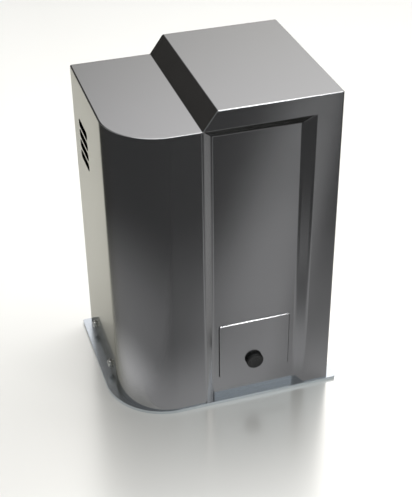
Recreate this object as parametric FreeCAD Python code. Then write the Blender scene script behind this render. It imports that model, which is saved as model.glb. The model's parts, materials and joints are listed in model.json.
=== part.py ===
import FreeCAD, Part
import math
import os

# Gear motor of a sliding-gate operator.
# Frame: origin under the middle of the base plate, +Z up, front (hatch side) towards -Y,
# the rack pinion at the back towards +Y. All lengths are in millimetres.

# Cover and base plate
cover_width = 300.0
cover_depth = 247.0
low_top_height = 437.0
top_rise = 26.0
sheet = 1.5
corner_radius = 75.0
bend_radius = 3.0
slope_offset = 114.0
slope_run = 19.0
plate_thickness = 5.0
plate_side_overhang = 13.0
plate_end_overhang = 1.5
plate_edge_radius = 3.0
anchor_spacing_x = 220.0
anchor_spacing_y = 190.0
anchor_hole_radius = 6.0
cable_hole_radius = 18.0
cable_hole_y = -85.0
cable_hole_offset = 45.0
grommet_wall = 4.0
grommet_lip = 4.0
grommet_collar_wall = 2.5
grommet_rise = 4.0
grommet_recess = 1.0

# Front recess and hatch
recess_width = 148.0
recess_depth = 8.8
recess_chamfer = 13.0
hatch_width = 103.0
hatch_height = 90.0
hatch_bottom = 36.0
hatch_corner_radius = 3.0
hatch_gap = 1.0
hatch_top_gap = 1.5
hatch_proud = 1.2
hinge_depth = 4.0
hinge_drop = 8.0
hinge_pin_radius = 1.0
hinge_ear_thickness = 3.0
hinge_ear_radius = 3.0
knob_radius = 12.5
knob_height = 6.5
knob_waist = 0.9
knob_waist_share = 0.25
knob_flare_share = 0.4
knob_edge_share = 0.2
knob_face = 0.86
knob_above_hatch_bottom = 21.0
knob_stem_radius = 4.0
latch_reach = 36.0
latch_width = 12.0
latch_thickness = 2.5

# Vents and cover screws in the side walls
vent_count = 4
vent_length = 52.0
vent_height = 11.5
vent_pitch = 15.9
vent_mid_y = 59.5
vent_top_drop = 68.0
cover_screw_ys = (-12.5, 86.5)
cover_screw_height = 16.0
cover_screw_radius = 2.5
cover_screw_head_radius = 5.5
cover_screw_head_height = 4.5
cover_screw_length = 10.0
cover_screw_slot = 1.2
bracket_width = 20.0
bracket_height = 30.0
bracket_foot = 20.0
bracket_sheet = 2.0

# Worm drive
gear_from_right = 130.0
gear_y = 20.0
gear_z = 95.0
worm_module = 2.5
wheel_teeth = 30
worm_pitch_radius = 12.5
worm_backlash = 0.8
pressure_angle = math.radians(20.0)
wheel_width = 20.0
wheel_bore_radius = 31.0
worm_turns = 5

# Gearbox casting
case_wall = 13.0
chamber_gap = 3.0
case_front_y = -20.0
case_back_y = 60.0
case_front_wall = 8.0
case_cover_thickness = 8.0
boss_radius = 34.0
boss_cap = 7.0
worm_case_radius = 27.0
motor_flange_radius = 72.0
motor_bolt_circle_radius = 66.0
motor_flange_thickness = 10.0
motor_flange_z = 164.0
case_rib_thickness = 4.0
motor_neck_radius = 39.0
foot_thickness = 12.0
foot_margin = 9.0
case_bolt_count = 6
bolt_radius = 3.0
foot_bolt_radius = 4.0
rear_bearing_y = 100.0
filler_radius = 6.0
filler_boss_radius = 10.0
filler_plug_length = 12.0
filler_head_height = 5.0

# Output shaft, bearings and rack pinion
shaft_radius = 12.5
bearing_radius = 26.0
bearing_width = 15.0
seal_width = 5.0
pinion_module = 4.0
pinion_teeth = 18
pinion_width = 30.0
shaft_opening_gap = 6.0
shaft_cover_gap = 4.0
hub_neck_wall = 4.5
hub_overhang = 4.0
key_inset = 3.0
rod_end_gap = 1.5
dog_shaft_gap = 3.0
dog_rim_gap = 1.0
clutch_pin_inset = 2.0
end_bolt_length = 22.0
shaft_shoulder = 3.5
pinion_gap = 6.5
pinion_washer_radius = 18.0
pinion_washer_thickness = 3.0
key_width = 8.0
key_height = 7.0
key_shaft_depth = 4.0
end_bolt_radius = 5.0

# Release clutch and lever
release_rod_radius = 5.0
collar_radius = 26.0
collar_length = 9.5
dog_depth = 5.0
dog_count = 4
dog_width = 8.0
release_stroke = 5.5
clutch_pin_radius = 2.9
lever_pivot_y = -62.0
lever_pin_radius = 3.0
lever_thickness = 10.0
lever_length = 42.0
lever_width = 12.0
cam_start_radius = 7.0
cam_gap = 0.5
ear_thickness = 5.0
grip_length = 24.0

# Motor
motor_frame_radius = 58.0
motor_frame_wall = 6.0
fin_radius = 64.0
fin_count = 30
fin_thickness = 1.6
motor_frame_length = 212.0
motor_foot_thickness = 10.0
fin_start = 24.0
stator_length = 120.0
stator_start = 55.0
rotor_radius = 38.0
air_gap = 0.4
winding_length = 18.0
winding_gap = 2.0
rotor_shaft_radius = 12.0
spigot_wall = 6.0
spigot_depth = 5.0
shaft_eye_gap = 2.0
end_shield_thickness = 14.0
fan_sheet = 2.0
fan_gap = 6.0
fan_height = 18.0
fan_radius = 50.0
fan_blades = 8
cowl_sheet = 1.2
cowl_radius = 62.0
cowl_height = 56.0
cowl_slots = 16
cowl_slot_width = 5.0

# Bearings of the worm shaft
low_bearing_bore = 8.5
low_bearing_radius = 20.0
low_bearing_width = 12.0
low_bearing_z = 30.0
high_bearing_bore = 10.0
high_bearing_radius = 23.5
high_bearing_width = 14.0
top_bearing_bore = 8.5
top_bearing_radius = 20.0
top_bearing_width = 12.0

# Electrics behind the vents
stand_gap = 2.0
stand_sheet = 2.0
stand_front_y = -30.0
stand_back_y = 95.0
stand_height = 340.0
stand_foot = 15.0
board_thickness = 1.6
board_gap = 11.4
board_margin = 10.0
board_bottom = 185.0
board_height = 145.0
spacer_radius = 3.0
relay_depth = 16.0
relay_width = 28.0
relay_height = 20.0
relay_count = 3
terminal_depth = 14.0
terminal_width = 17.0
terminal_height = 12.0
terminal_count = 5
core_depth = 26.0
core_width = 64.0
core_height = 54.0
core_from_wall = 37.0
core_y = 60.0
core_leg = 22.0
coil_overhang = 5.0
capacitor_radius = 20.0
capacitor_height = 95.0
capacitor_from_wall = 50.0
capacitor_y = -60.0
can_edge = 2.0
tab_width = 6.0
tab_height = 9.0
tab_sheet = 1.0
tab_spread = 7.0
clip_foot = 12.0
clip_foot_width = 8.0
clip_split = 2.0
clip_wall = 2.0
clip_height = 26.0

# Limit switch above the pinion
switch_width = 40.0
switch_depth = 24.0
switch_height = 40.0
switch_from_gear = 20.0
switch_z = 192.0
switch_plate_width = 24.0
switch_plate = 2.0
switch_shaft_radius = 4.0
switch_hub_radius = 9.0
switch_hub_width = 10.0
switch_wall_gap = 4.0
switch_opening_gap = 2.0
switch_edge_radius = 2.0
switch_shelf_drop = 4.0
switch_leg_gap = 3.0
whip_radius = 2.5
whip_length = 75.0

# Clearances
running_fit = 0.05
seat_fit = 0.02
free_gap = 0.4
hole_gap = 0.6

# Main planes worked out from the driving dimensions
V = FreeCAD.Vector
X_AXIS = V(1, 0, 0)
Y_AXIS = V(0, 1, 0)
Z_AXIS = V(0, 0, 1)
x_left = -cover_width / 2
x_right = cover_width / 2
y_front = -cover_depth / 2
y_back = cover_depth / 2
z_plate = plate_thickness
z_low = z_plate + low_top_height
z_high = z_low + top_rise
slope_x = x_left + slope_offset
recess_x0 = slope_x
recess_x1 = recess_x0 + recess_width
panel_y = y_front + recess_depth
hatch_x = (recess_x0 + recess_x1) / 2
hatch_z0 = z_plate + hatch_bottom
hatch_z1 = hatch_z0 + hatch_height
hatch_y = panel_y - hatch_proud
hinge_y = hatch_y + hinge_depth
hinge_z = hatch_z1 - hinge_drop
knob_z = hatch_z0 + knob_above_hatch_bottom
wheel_pitch_radius = worm_module * wheel_teeth / 2
chamber_radius = wheel_pitch_radius + worm_module + chamber_gap
case_radius = chamber_radius + case_wall
case_bolt_circle_radius = chamber_radius + case_wall / 2
gear_x = x_right - gear_from_right
switch_x = gear_x - switch_from_gear
worm_x = gear_x + wheel_pitch_radius + worm_pitch_radius
worm_y = gear_y
cable_hole_x = gear_x - cable_hole_offset

os.makedirs("parts", exist_ok=True)


# Small modelling helpers

def save(name, shape):
    """Write one named piece, after a check that it is sound."""
    shape = shape.removeSplitter()
    if not shape.isValid():
        print("not valid:", name)
    shape.exportStep("parts/" + name + ".step")


def box(x0, x1, y0, y1, z0, z1):
    return Part.makeBox(x1 - x0, y1 - y0, z1 - z0, V(x0, y0, z0))


def rod_x(radius, x0, x1, y, z):
    return Part.makeCylinder(radius, x1 - x0, V(x0, y, z), X_AXIS)


def rod_y(radius, y0, y1, x, z):
    return Part.makeCylinder(radius, y1 - y0, V(x, y0, z), Y_AXIS)


def rod_z(radius, z0, z1, x, y):
    return Part.makeCylinder(radius, z1 - z0, V(x, y, z0), Z_AXIS)


def ring_y(outer, inner, y0, y1, x, z):
    return rod_y(outer, y0, y1, x, z).cut(rod_y(inner, y0, y1, x, z))


def ring_z(outer, inner, z0, z1, x, y):
    return rod_z(outer, z0, z1, x, y).cut(rod_z(inner, z0, z1, x, y))


def prism(points, direction):
    """Extrude the closed outline through the points along a vector."""
    outline = Part.makePolygon(points + [points[0]])
    return Part.Face(outline).extrude(direction)


def group(solids):
    """Several separate solids kept in one named piece."""
    return Part.makeCompound(solids)


def plan_face(x0, y0, x1, y1, radii, z):
    """Flat outline with rounded corners: front left, front right, back right, back left."""
    corners = [V(x0, y0, z), V(x1, y0, z), V(x1, y1, z), V(x0, y1, z)]
    starts = []
    ends = []
    edges = []
    for index, corner in enumerate(corners):
        before = corners[index - 1] - corner
        after = corners[(index + 1) % 4] - corner
        before.normalize()
        after.normalize()
        start = corner + before * radii[index]
        end = corner + after * radii[index]
        centre = start + end - corner
        outward = corner - centre
        outward.normalize()
        middle = centre + outward * radii[index]
        edges.append(Part.Arc(start, middle, end).toShape())
        starts.append(start)
        ends.append(end)
    for index in range(4):
        following = starts[(index + 1) % 4]
        edges.append(Part.LineSegment(ends[index], following).toShape())
    return Part.Face(Part.Wire(Part.__sortEdges__(edges)))


def cover_plan(inset, z):
    """Outline of the cover, moved inwards by the inset."""
    big = corner_radius - inset
    small = bend_radius - inset
    return plan_face(x_left + inset, y_front + inset, x_right - inset, y_back - inset,
                     (big, small, small, small), z)


def slot_x(x0, x1, y_mid, z_mid, length, height):
    """Round-ended slot through a wall that faces along X."""
    half = (length - height) / 2
    middle = box(x0, x1, y_mid - half, y_mid + half, z_mid - height / 2, z_mid + height / 2)
    first = rod_x(height / 2, x0, x1, y_mid - half, z_mid)
    last = rod_x(height / 2, x0, x1, y_mid + half, z_mid)
    return middle.fuse([first, last])


def bolt(radius, length, head_radius, head_height, base, direction):
    """Hexagon-head screw, its head's seat at base and its shank along direction."""
    shank = Part.makeCylinder(radius, length, base, direction)
    side = direction.cross(X_AXIS) if abs(direction.x) < 0.5 else Z_AXIS
    spin = FreeCAD.Rotation(direction, 60)
    corners = [side * head_radius]
    for corner in range(5):
        corners.append(spin.multVec(corners[-1]))
    head = prism([base + corner for corner in corners], direction * -head_height)
    return shank.fuse(head)


def involute_half_angle(radius, pitch_radius, half_thickness):
    """Half the angle that a tooth spans at a radius."""
    base_radius = pitch_radius * math.cos(pressure_angle)
    at_radius = math.acos(min(1.0, base_radius / radius))
    spread = math.tan(pressure_angle) - pressure_angle - math.tan(at_radius) + at_radius
    return half_thickness / pitch_radius + spread


def tooth_flank(module, teeth, half_thickness, steps):
    """Pairs of radius and half angle from the root to the tip of one tooth."""
    pitch_radius = module * teeth / 2
    low = pitch_radius * math.cos(pressure_angle)
    high = pitch_radius + module
    radii = [low + (high - low) * step / steps for step in range(steps + 1)]
    return [(radius, involute_half_angle(radius, pitch_radius, half_thickness)) for radius in radii]


# Base plate

plate_x = x_right + plate_side_overhang
plate_y = y_back + plate_end_overhang
plate_corner = corner_radius + plate_side_overhang
foot_x0 = gear_x - case_radius - foot_margin
foot_x1 = worm_x + worm_case_radius + foot_margin
foot_y0 = case_front_y
foot_y1 = case_back_y
foot_bolt_inset = foot_bolt_radius * 2.5
foot_bolt_points = [(x, y)
                    for x in (foot_x0 + foot_bolt_inset, foot_x1 - foot_bolt_inset)
                    for y in (foot_y0 + foot_bolt_inset, foot_y1 - foot_bolt_inset)]


def base_plate():
    radii = (plate_corner, plate_edge_radius, plate_edge_radius, plate_edge_radius)
    plate = plan_face(-plate_x, -plate_y, plate_x, plate_y, radii, 0).extrude(Z_AXIS * plate_thickness)
    holes = [rod_z(cable_hole_radius, 0, z_plate, cable_hole_x, cable_hole_y)]
    for sx in (-1, 1):
        for sy in (-1, 1):
            x = sx * anchor_spacing_x / 2
            y = sy * anchor_spacing_y / 2
            holes.append(rod_z(anchor_hole_radius, 0, z_plate, x, y))
    for x, y in foot_bolt_points:
        holes.append(rod_z(foot_bolt_radius + seat_fit, 0, z_plate, x, y))
    return plate.cut(holes)


def cable_grommet():
    lip = cable_hole_radius + grommet_lip
    bore = cable_hole_radius - grommet_wall
    flange_z = z_plate + grommet_rise
    collar_z = flange_z + grommet_rise
    sleeve = rod_z(cable_hole_radius - seat_fit, grommet_recess, z_plate, cable_hole_x, cable_hole_y)
    flange = rod_z(lip, z_plate, flange_z, cable_hole_x, cable_hole_y)
    collar = rod_z(bore + grommet_collar_wall, flange_z, collar_z, cable_hole_x, cable_hole_y)
    hole = rod_z(bore, grommet_recess, collar_z, cable_hole_x, cable_hole_y)
    return sleeve.fuse([flange, collar]).cut(hole)


save("base_plate", base_plate())
save("cable_grommet", cable_grommet())


# Cover: a wrapped wall, a folded top and the recessed front panel

slope_angle = math.atan2(z_high - z_low, slope_run)
fold_shift = V(sheet * math.tan(slope_angle / 2), 0, -sheet)
chamfer_angle = math.atan2(recess_depth, recess_chamfer)
switch_y0 = y_back - sheet - switch_wall_gap - switch_depth


def top_line(y, reach):
    """Upper face of the folded top, seen from the front, from one side to the other."""
    return [V(x_left - reach, y, z_low), V(slope_x, y, z_low),
            V(slope_x + slope_run, y, z_high), V(x_right + reach, y, z_high)]


def cover_wall():
    outer = cover_plan(0, z_plate).extrude(Z_AXIS * (z_high - z_plate))
    inner = cover_plan(sheet, z_plate).extrude(Z_AXIS * (z_high - z_plate))
    reach = 1.0
    start = y_front - reach
    under = [point + fold_shift for point in top_line(start, reach)]
    under[0].x = x_left - reach
    under[-1].x = x_right + reach
    over = [V(x_right + reach, start, z_high + reach), V(x_left - reach, start, z_high + reach)]
    above = prism(under + over, Y_AXIS * (cover_depth + 2 * reach))
    window = box(recess_x0, recess_x1, start, y_front + bend_radius, z_plate, z_low)
    cuts = [inner, above, window]
    first_vent_z = z_low - vent_top_drop
    for index in range(vent_count):
        z = first_vent_z - index * vent_pitch
        cuts.append(slot_x(x_left - reach, x_left + sheet + reach, vent_mid_y, z, vent_length, vent_height))
    hole = cover_screw_radius + seat_fit
    for y in cover_screw_ys:
        z = z_plate + cover_screw_height
        cuts.append(rod_x(hole, x_left - reach, x_left + sheet + reach, y, z))
        cuts.append(rod_x(hole, x_right - sheet - reach, x_right + reach, y, z))
    wall_y0 = y_back - sheet - reach
    wall_y1 = y_back + reach
    cuts.append(rod_y(shaft_radius + shaft_opening_gap, wall_y0, wall_y1, gear_x, gear_z))
    cuts.append(rod_y(switch_shaft_radius + switch_opening_gap, wall_y0, wall_y1, switch_x, switch_z))
    return outer.cut(cuts)


def cover_top():
    upper = top_line(y_front, 0)
    lower = [point + fold_shift for point in upper]
    lower[0].x = x_left
    lower[-1].x = x_right
    folded = prism(upper + lower[::-1], Y_AXIS * cover_depth)
    return folded.common(cover_plan(0, z_plate).extrude(Z_AXIS * z_high))


def recess_block(plan, side):
    """What the plan, pushed upwards, and the side view, pushed across, have in common."""
    upright = prism([V(x, y, z_plate) for x, y in plan], Z_AXIS * (z_low - z_plate))
    across = prism([V(recess_x0, y, z) for y, z in side], X_AXIS * recess_width)
    return upright.common(across)


def front_panel():
    """Pressed recess: a flat floor, sloped sides and a sloped top, open towards the plate."""
    corner = sheet * math.tan(chamfer_angle / 2)
    rim_y = y_front + sheet / math.cos(chamfer_angle)
    back_y = panel_y + sheet
    floor_x0 = recess_x0 + recess_chamfer
    floor_x1 = recess_x1 - recess_chamfer
    floor_z = z_low - recess_chamfer
    hollow = recess_block([(recess_x0, y_front), (floor_x0, panel_y), (floor_x1, panel_y),
                           (recess_x1, y_front)],
                          [(y_front, z_plate), (panel_y, z_plate), (panel_y, floor_z), (y_front, z_low)])
    pressed = recess_block([(recess_x0, y_front), (recess_x0, rim_y), (floor_x0 - corner, back_y),
                            (floor_x1 + corner, back_y), (recess_x1, rim_y), (recess_x1, y_front)],
                           [(y_front, z_plate), (back_y, z_plate), (back_y, floor_z + corner),
                            (rim_y, z_low), (y_front, z_low)])
    x0 = hatch_x - hatch_width / 2 - hatch_gap
    x1 = hatch_x + hatch_width / 2 + hatch_gap
    opening = box(x0, x1, panel_y - sheet, panel_y + 2 * sheet,
                  hatch_z0 - hatch_gap, hatch_z1 + hatch_top_gap)
    uprights = [edge for edge in opening.Edges if abs(edge.tangentAt(0).y) > 0.9]
    opening = opening.makeFillet(hatch_corner_radius, uprights)
    panel = pressed.cut([hollow, opening])
    ear_back = hinge_y + hinge_ear_radius
    for x in (x0 - hinge_ear_thickness - hatch_gap, x1 + hatch_gap):
        block = box(x, x + hinge_ear_thickness, panel_y + sheet, hinge_y,
                    hinge_z - hinge_ear_radius, hinge_z + hinge_ear_radius)
        nose = rod_x(hinge_ear_radius, x, x + hinge_ear_thickness, hinge_y, hinge_z)
        nose = nose.common(box(x, x + hinge_ear_thickness, panel_y + sheet, ear_back,
                               hinge_z - hinge_ear_radius, hinge_z + hinge_ear_radius))
        bore = rod_x(hinge_pin_radius + running_fit, x, x + hinge_ear_thickness, hinge_y, hinge_z)
        panel = panel.fuse([block, nose]).cut(bore)
    return panel.cut(cover_top())


save("cover_wall", cover_wall())
save("cover_top", cover_top())
save("front_panel", front_panel())


# Hatch with its hinge pin, turn knob and latch cam

def hatch_door():
    x0 = hatch_x - hatch_width / 2
    x1 = hatch_x + hatch_width / 2
    leaf = box(x0, x1, hatch_y, hatch_y + sheet, hatch_z0, hatch_z1)
    uprights = [edge for edge in leaf.Edges if abs(edge.tangentAt(0).y) > 0.9]
    leaf = leaf.makeFillet(hatch_corner_radius - hatch_gap, uprights)
    leaf = leaf.cut(rod_y(knob_stem_radius + running_fit, hatch_y, hatch_y + sheet, hatch_x, knob_z))
    ears = []
    for x in (x0 + hinge_ear_thickness, x1 - 2 * hinge_ear_thickness):
        block = box(x, x + hinge_ear_thickness, hatch_y + sheet, hinge_y,
                    hinge_z - hinge_ear_radius, hinge_z + hinge_ear_radius)
        nose = rod_x(hinge_ear_radius, x, x + hinge_ear_thickness, hinge_y, hinge_z)
        nose = nose.common(box(x, x + hinge_ear_thickness, hatch_y + sheet, hinge_y + hinge_ear_radius,
                               hinge_z - hinge_ear_radius, hinge_z + hinge_ear_radius))
        ears += [block, nose]
    bore = rod_x(hinge_pin_radius + seat_fit, x0, x1, hinge_y, hinge_z)
    return leaf.fuse(ears).cut(bore)


def hatch_hinge_pin():
    reach = hatch_width / 2 + 2 * hatch_gap + hinge_ear_thickness
    return rod_x(hinge_pin_radius, hatch_x - reach, hatch_x + reach, hinge_y, hinge_z)


latch_y = panel_y + sheet + free_gap


def latch_knob():
    """Round knob with a waist and a domed face, turned about its own axis, on a stem."""
    skirt = hatch_y - free_gap
    face = hatch_y - knob_height
    profile = [V(0, skirt, 0), V(knob_radius * knob_waist, skirt, 0),
               V(knob_radius * knob_waist, skirt - knob_height * knob_waist_share, 0),
               V(knob_radius, skirt - knob_height * knob_flare_share, 0),
               V(knob_radius, face + knob_height * knob_edge_share, 0),
               V(knob_radius * knob_face, face, 0), V(0, face, 0)]
    knob = Part.Face(Part.makePolygon(profile + [profile[0]])).revolve(V(0, 0, 0), Y_AXIS, 360)
    knob.translate(V(hatch_x, 0, knob_z))
    stem = rod_y(knob_stem_radius, skirt, latch_y + latch_thickness, hatch_x, knob_z)
    return knob.fuse(stem)


def latch_cam():
    y0 = latch_y
    y1 = latch_y + latch_thickness
    half = latch_width / 2
    eye = rod_y(half, y0, y1, hatch_x, knob_z)
    arm = box(hatch_x, hatch_x + latch_reach - half, y0, y1, knob_z - half, knob_z + half)
    tip = rod_y(half, y0, y1, hatch_x + latch_reach - half, knob_z)
    hole = rod_y(knob_stem_radius + seat_fit, y0, y1, hatch_x, knob_z)
    return eye.fuse([arm, tip]).cut(hole)


save("hatch_door", hatch_door())
save("hatch_hinge_pin", hatch_hinge_pin())
save("latch_knob", latch_knob())
save("latch_cam", latch_cam())


# What holds the cover: angle brackets on the plate and the screws through the side walls

def cover_brackets():
    angles = []
    for y in cover_screw_ys:
        y0 = y - bracket_width / 2
        y1 = y + bracket_width / 2
        for side in (-1, 1):
            wall = side * (x_right - sheet)
            inner = wall - side * bracket_sheet
            toe = wall - side * bracket_foot
            upright = box(min(wall, inner), max(wall, inner), y0, y1, z_plate, z_plate + bracket_height)
            foot = box(min(wall, toe), max(wall, toe), y0, y1, z_plate, z_plate + bracket_sheet)
            hole = rod_x(cover_screw_radius + seat_fit, min(wall, toe), max(wall, toe),
                         y, z_plate + cover_screw_height)
            angles.append(upright.fuse(foot).cut(hole))
    return group(angles)


def cover_screws():
    """Pan-head screws, with a cross slot in each rounded head."""
    screws = []
    for y in cover_screw_ys:
        for side in (-1, 1):
            seat = V(side * x_right, y, z_plate + cover_screw_height)
            inward = X_AXIS * -side
            shank = Part.makeCylinder(cover_screw_radius, cover_screw_length, seat, inward)
            head = Part.makeCone(cover_screw_head_radius, cover_screw_head_radius * 0.7,
                                 cover_screw_head_height, seat, inward * -1)
            face = seat.x + side * cover_screw_head_height
            deep = face - side * cover_screw_head_height * 0.5
            slot = box(min(face, deep), max(face, deep),
                       y - cover_screw_head_radius, y + cover_screw_head_radius,
                       seat.z - cover_screw_slot / 2, seat.z + cover_screw_slot / 2)
            screws.append(shank.fuse(head).cut(slot))
    return group(screws)


save("cover_brackets", cover_brackets())
save("cover_screws", cover_screws())


# Gearbox casting, its back cover and fasteners

chamber_front_y = case_front_y + case_front_wall
front_bearing_y = case_front_y - bearing_width
boss_front_y = front_bearing_y - boss_cap
case_cover_y = case_back_y + case_cover_thickness
rear_seal_y = rear_bearing_y + bearing_width
snout_end_y = rear_seal_y + seal_width
high_bearing_z = motor_flange_z - high_bearing_width
bolt_head_radius = bolt_radius * 1.7
bolt_head_height = bolt_radius * 2
case_bolt_length = case_cover_thickness + bolt_radius * 4
filler_x = gear_x - case_radius * 0.63
filler_top_z = gear_z + case_radius
ear_inner = lever_thickness / 2 + free_gap
ear_outer = ear_inner + ear_thickness
ear_radius = lever_pin_radius * 2.7
switch_rib = 4
motor_bolt_points = [(worm_x + motor_bolt_circle_radius * math.cos(math.radians(45 + 90 * quarter)),
                      worm_y + motor_bolt_circle_radius * math.sin(math.radians(45 + 90 * quarter)))
                     for quarter in range(4)]
case_bolt_angles = [2 * math.pi * (index + 0.5) / case_bolt_count for index in range(case_bolt_count)]
case_bolt_points = [(gear_x + case_bolt_circle_radius * math.cos(angle),
                     gear_z + case_bolt_circle_radius * math.sin(angle)) for angle in case_bolt_angles]


def release_ears():
    """Two ears on the front boss that carry the release lever's pivot."""
    ears = []
    for low, high in ((-ear_outer, -ear_inner), (ear_inner, ear_outer)):
        x0 = gear_x + low
        x1 = gear_x + high
        web = box(x0, x1, lever_pivot_y, boss_front_y, gear_z - ear_radius, gear_z + ear_radius)
        nose = rod_x(ear_radius, x0, x1, lever_pivot_y, gear_z)
        ears += [web, nose]
    return ears


def gearbox_housing():
    case = rod_y(case_radius, case_front_y, case_back_y, gear_x, gear_z)
    boss = rod_y(boss_radius, boss_front_y, case_front_y, gear_x, gear_z)
    worm_case = rod_z(worm_case_radius, z_plate, motor_flange_z, worm_x, worm_y)
    flange = rod_z(motor_flange_radius, motor_flange_z - motor_flange_thickness, motor_flange_z,
                   worm_x, worm_y)
    neck = rod_z(motor_neck_radius, gear_z, motor_flange_z, worm_x, worm_y)
    foot = plan_face(foot_x0, foot_y0, foot_x1, foot_y1, (foot_margin,) * 4, z_plate)
    foot = foot.extrude(Z_AXIS * foot_thickness)
    pedestal = box(gear_x - case_radius * 0.7, gear_x + case_radius * 0.7, case_front_y, case_back_y,
                   z_plate, gear_z - case_radius * 0.6)
    filler_boss = rod_z(filler_boss_radius, gear_z + chamber_radius * 0.5, filler_top_z, filler_x, gear_y)
    solid = case.fuse([boss, worm_case, neck, flange, foot, pedestal, filler_boss] + release_ears())
    cuts = [rod_y(chamber_radius, chamber_front_y, case_back_y, gear_x, gear_z)]
    cuts.append(rod_y(bearing_radius + seat_fit, front_bearing_y, chamber_front_y, gear_x, gear_z))
    cuts.append(rod_y(release_rod_radius + running_fit, boss_front_y, front_bearing_y, gear_x, gear_z))
    cuts.append(rod_z(low_bearing_radius + seat_fit, low_bearing_z, motor_flange_z, worm_x, worm_y))
    cuts.append(rod_z(high_bearing_radius + seat_fit, high_bearing_z, motor_flange_z, worm_x, worm_y))
    cuts.append(rod_z(filler_radius + seat_fit, gear_z, filler_top_z, filler_x, gear_y))
    cuts.append(rod_x(lever_pin_radius + seat_fit, gear_x - ear_outer, gear_x + ear_outer,
                      lever_pivot_y, gear_z))
    for x, z in case_bolt_points:
        cuts.append(rod_y(bolt_radius + seat_fit, case_cover_y - case_bolt_length - 1, case_back_y, x, z))
    for x, y in foot_bolt_points:
        cuts.append(rod_z(foot_bolt_radius + hole_gap, z_plate, z_plate + foot_thickness, x, y))
    for x, y in motor_bolt_points:
        cuts.append(rod_z(bolt_radius + seat_fit, motor_flange_z - motor_flange_thickness, motor_flange_z,
                          x, y))
    return solid.cut(cuts)


def gearbox_cover():
    disc = rod_y(case_radius, case_back_y, case_cover_y, gear_x, gear_z)
    snout = rod_y(boss_radius, case_cover_y, snout_end_y, gear_x, gear_z)
    cuts = [rod_y(shaft_radius + shaft_cover_gap, case_back_y, rear_bearing_y, gear_x, gear_z)]
    cuts.append(rod_y(bearing_radius + seat_fit, rear_bearing_y, snout_end_y, gear_x, gear_z))
    for x, z in case_bolt_points:
        cuts.append(rod_y(bolt_radius + hole_gap, case_back_y, case_cover_y, x, z))
    ribs = []
    for index in range(case_bolt_count):
        if index == switch_rib:
            continue
        half = case_rib_thickness / 2
        rib = prism([V(boss_radius - half, case_cover_y, -half), V(case_radius - half, case_cover_y, -half),
                     V(boss_radius - half, snout_end_y - bearing_width, -half)], Z_AXIS * case_rib_thickness)
        rib.rotate(V(0, 0, 0), Y_AXIS, 360.0 * index / case_bolt_count)
        rib.translate(V(gear_x, 0, gear_z))
        ribs.append(rib)
    return disc.fuse([snout] + ribs).cut(cuts)


def gearbox_cover_bolts():
    return group([bolt(bolt_radius, case_bolt_length, bolt_head_radius, bolt_head_height,
                       V(x, case_cover_y, z), Y_AXIS * -1) for x, z in case_bolt_points])


def gearbox_foot_bolts():
    length = foot_thickness + plate_thickness * 0.9
    seat_z = z_plate + foot_thickness
    return group([bolt(foot_bolt_radius, length, foot_bolt_radius * 1.6, foot_bolt_radius * 2,
                       V(x, y, seat_z), Z_AXIS * -1) for x, y in foot_bolt_points])


def oil_filler_plug():
    return bolt(filler_radius, filler_plug_length, filler_boss_radius, filler_head_height,
                V(filler_x, gear_y, filler_top_z), Z_AXIS * -1)


save("gearbox_housing", gearbox_housing())
save("gearbox_cover", gearbox_cover())
save("gearbox_cover_bolts", gearbox_cover_bolts())
save("gearbox_foot_bolts", gearbox_foot_bolts())
save("oil_filler_plug", oil_filler_plug())


# Bearings and seal

def bearing_upright(bore, outer, width, z0):
    return ring_z(outer, bore + running_fit, z0, z0 + width, worm_x, worm_y)


def bearing_across(y0):
    return ring_y(bearing_radius, shaft_radius + running_fit, y0, y0 + bearing_width, gear_x, gear_z)


motor_base_z = motor_flange_z
motor_top_z = motor_base_z + motor_frame_length
top_bearing_z = motor_top_z + end_shield_thickness - top_bearing_width

save("output_front_bearing", bearing_across(front_bearing_y))
save("output_rear_bearing", bearing_across(rear_bearing_y))
save("output_seal", ring_y(bearing_radius, shaft_radius + running_fit, rear_seal_y, snout_end_y,
                           gear_x, gear_z))
save("worm_lower_bearing", bearing_upright(low_bearing_bore, low_bearing_radius, low_bearing_width,
                                           low_bearing_z))
save("worm_upper_bearing", bearing_upright(high_bearing_bore, high_bearing_radius, high_bearing_width,
                                           high_bearing_z))
save("motor_top_bearing", bearing_upright(top_bearing_bore, top_bearing_radius, top_bearing_width,
                                          top_bearing_z))


# Output shaft, worm wheel and release clutch

hub_front_y = gear_y - wheel_width / 2 - hub_overhang
hub_back_y = gear_y + wheel_width
collar_y = hub_back_y + free_gap
clutch_pin_y = collar_y + collar_length / 2
rod_front_y = lever_pivot_y + cam_start_radius + cam_gap
rod_back_y = clutch_pin_y + release_rod_radius
pinion_y0 = y_back + pinion_gap
pinion_y1 = pinion_y0 + pinion_width
shaft_front_y = front_bearing_y + 1.0
shaft_back_y = pinion_y1 - free_gap
key_y0 = pinion_y0 + key_inset
key_y1 = pinion_y1 - key_inset
key_z0 = gear_z + shaft_radius - key_shaft_depth


def output_shaft():
    bar = rod_y(shaft_radius, shaft_front_y, shaft_back_y, gear_x, gear_z)
    shoulder = rod_y(shaft_radius + shaft_shoulder, snout_end_y + free_gap, pinion_y0, gear_x, gear_z)
    bore = rod_y(release_rod_radius + running_fit, shaft_front_y, rod_back_y + release_stroke + rod_end_gap,
                 gear_x, gear_z)
    half = clutch_pin_radius + free_gap
    pin_slot = box(gear_x - shaft_radius, gear_x + shaft_radius, clutch_pin_y - half,
                   clutch_pin_y + half + release_stroke, gear_z - half, gear_z + half)
    key_slot = box(gear_x - key_width / 2, gear_x + key_width / 2, key_y0, key_y1,
                   key_z0, gear_z + shaft_radius)
    tapped = rod_y(end_bolt_radius + seat_fit, shaft_back_y - end_bolt_length, shaft_back_y, gear_x, gear_z)
    return bar.fuse(shoulder).cut([bore, pin_slot, key_slot, tapped])


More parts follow.
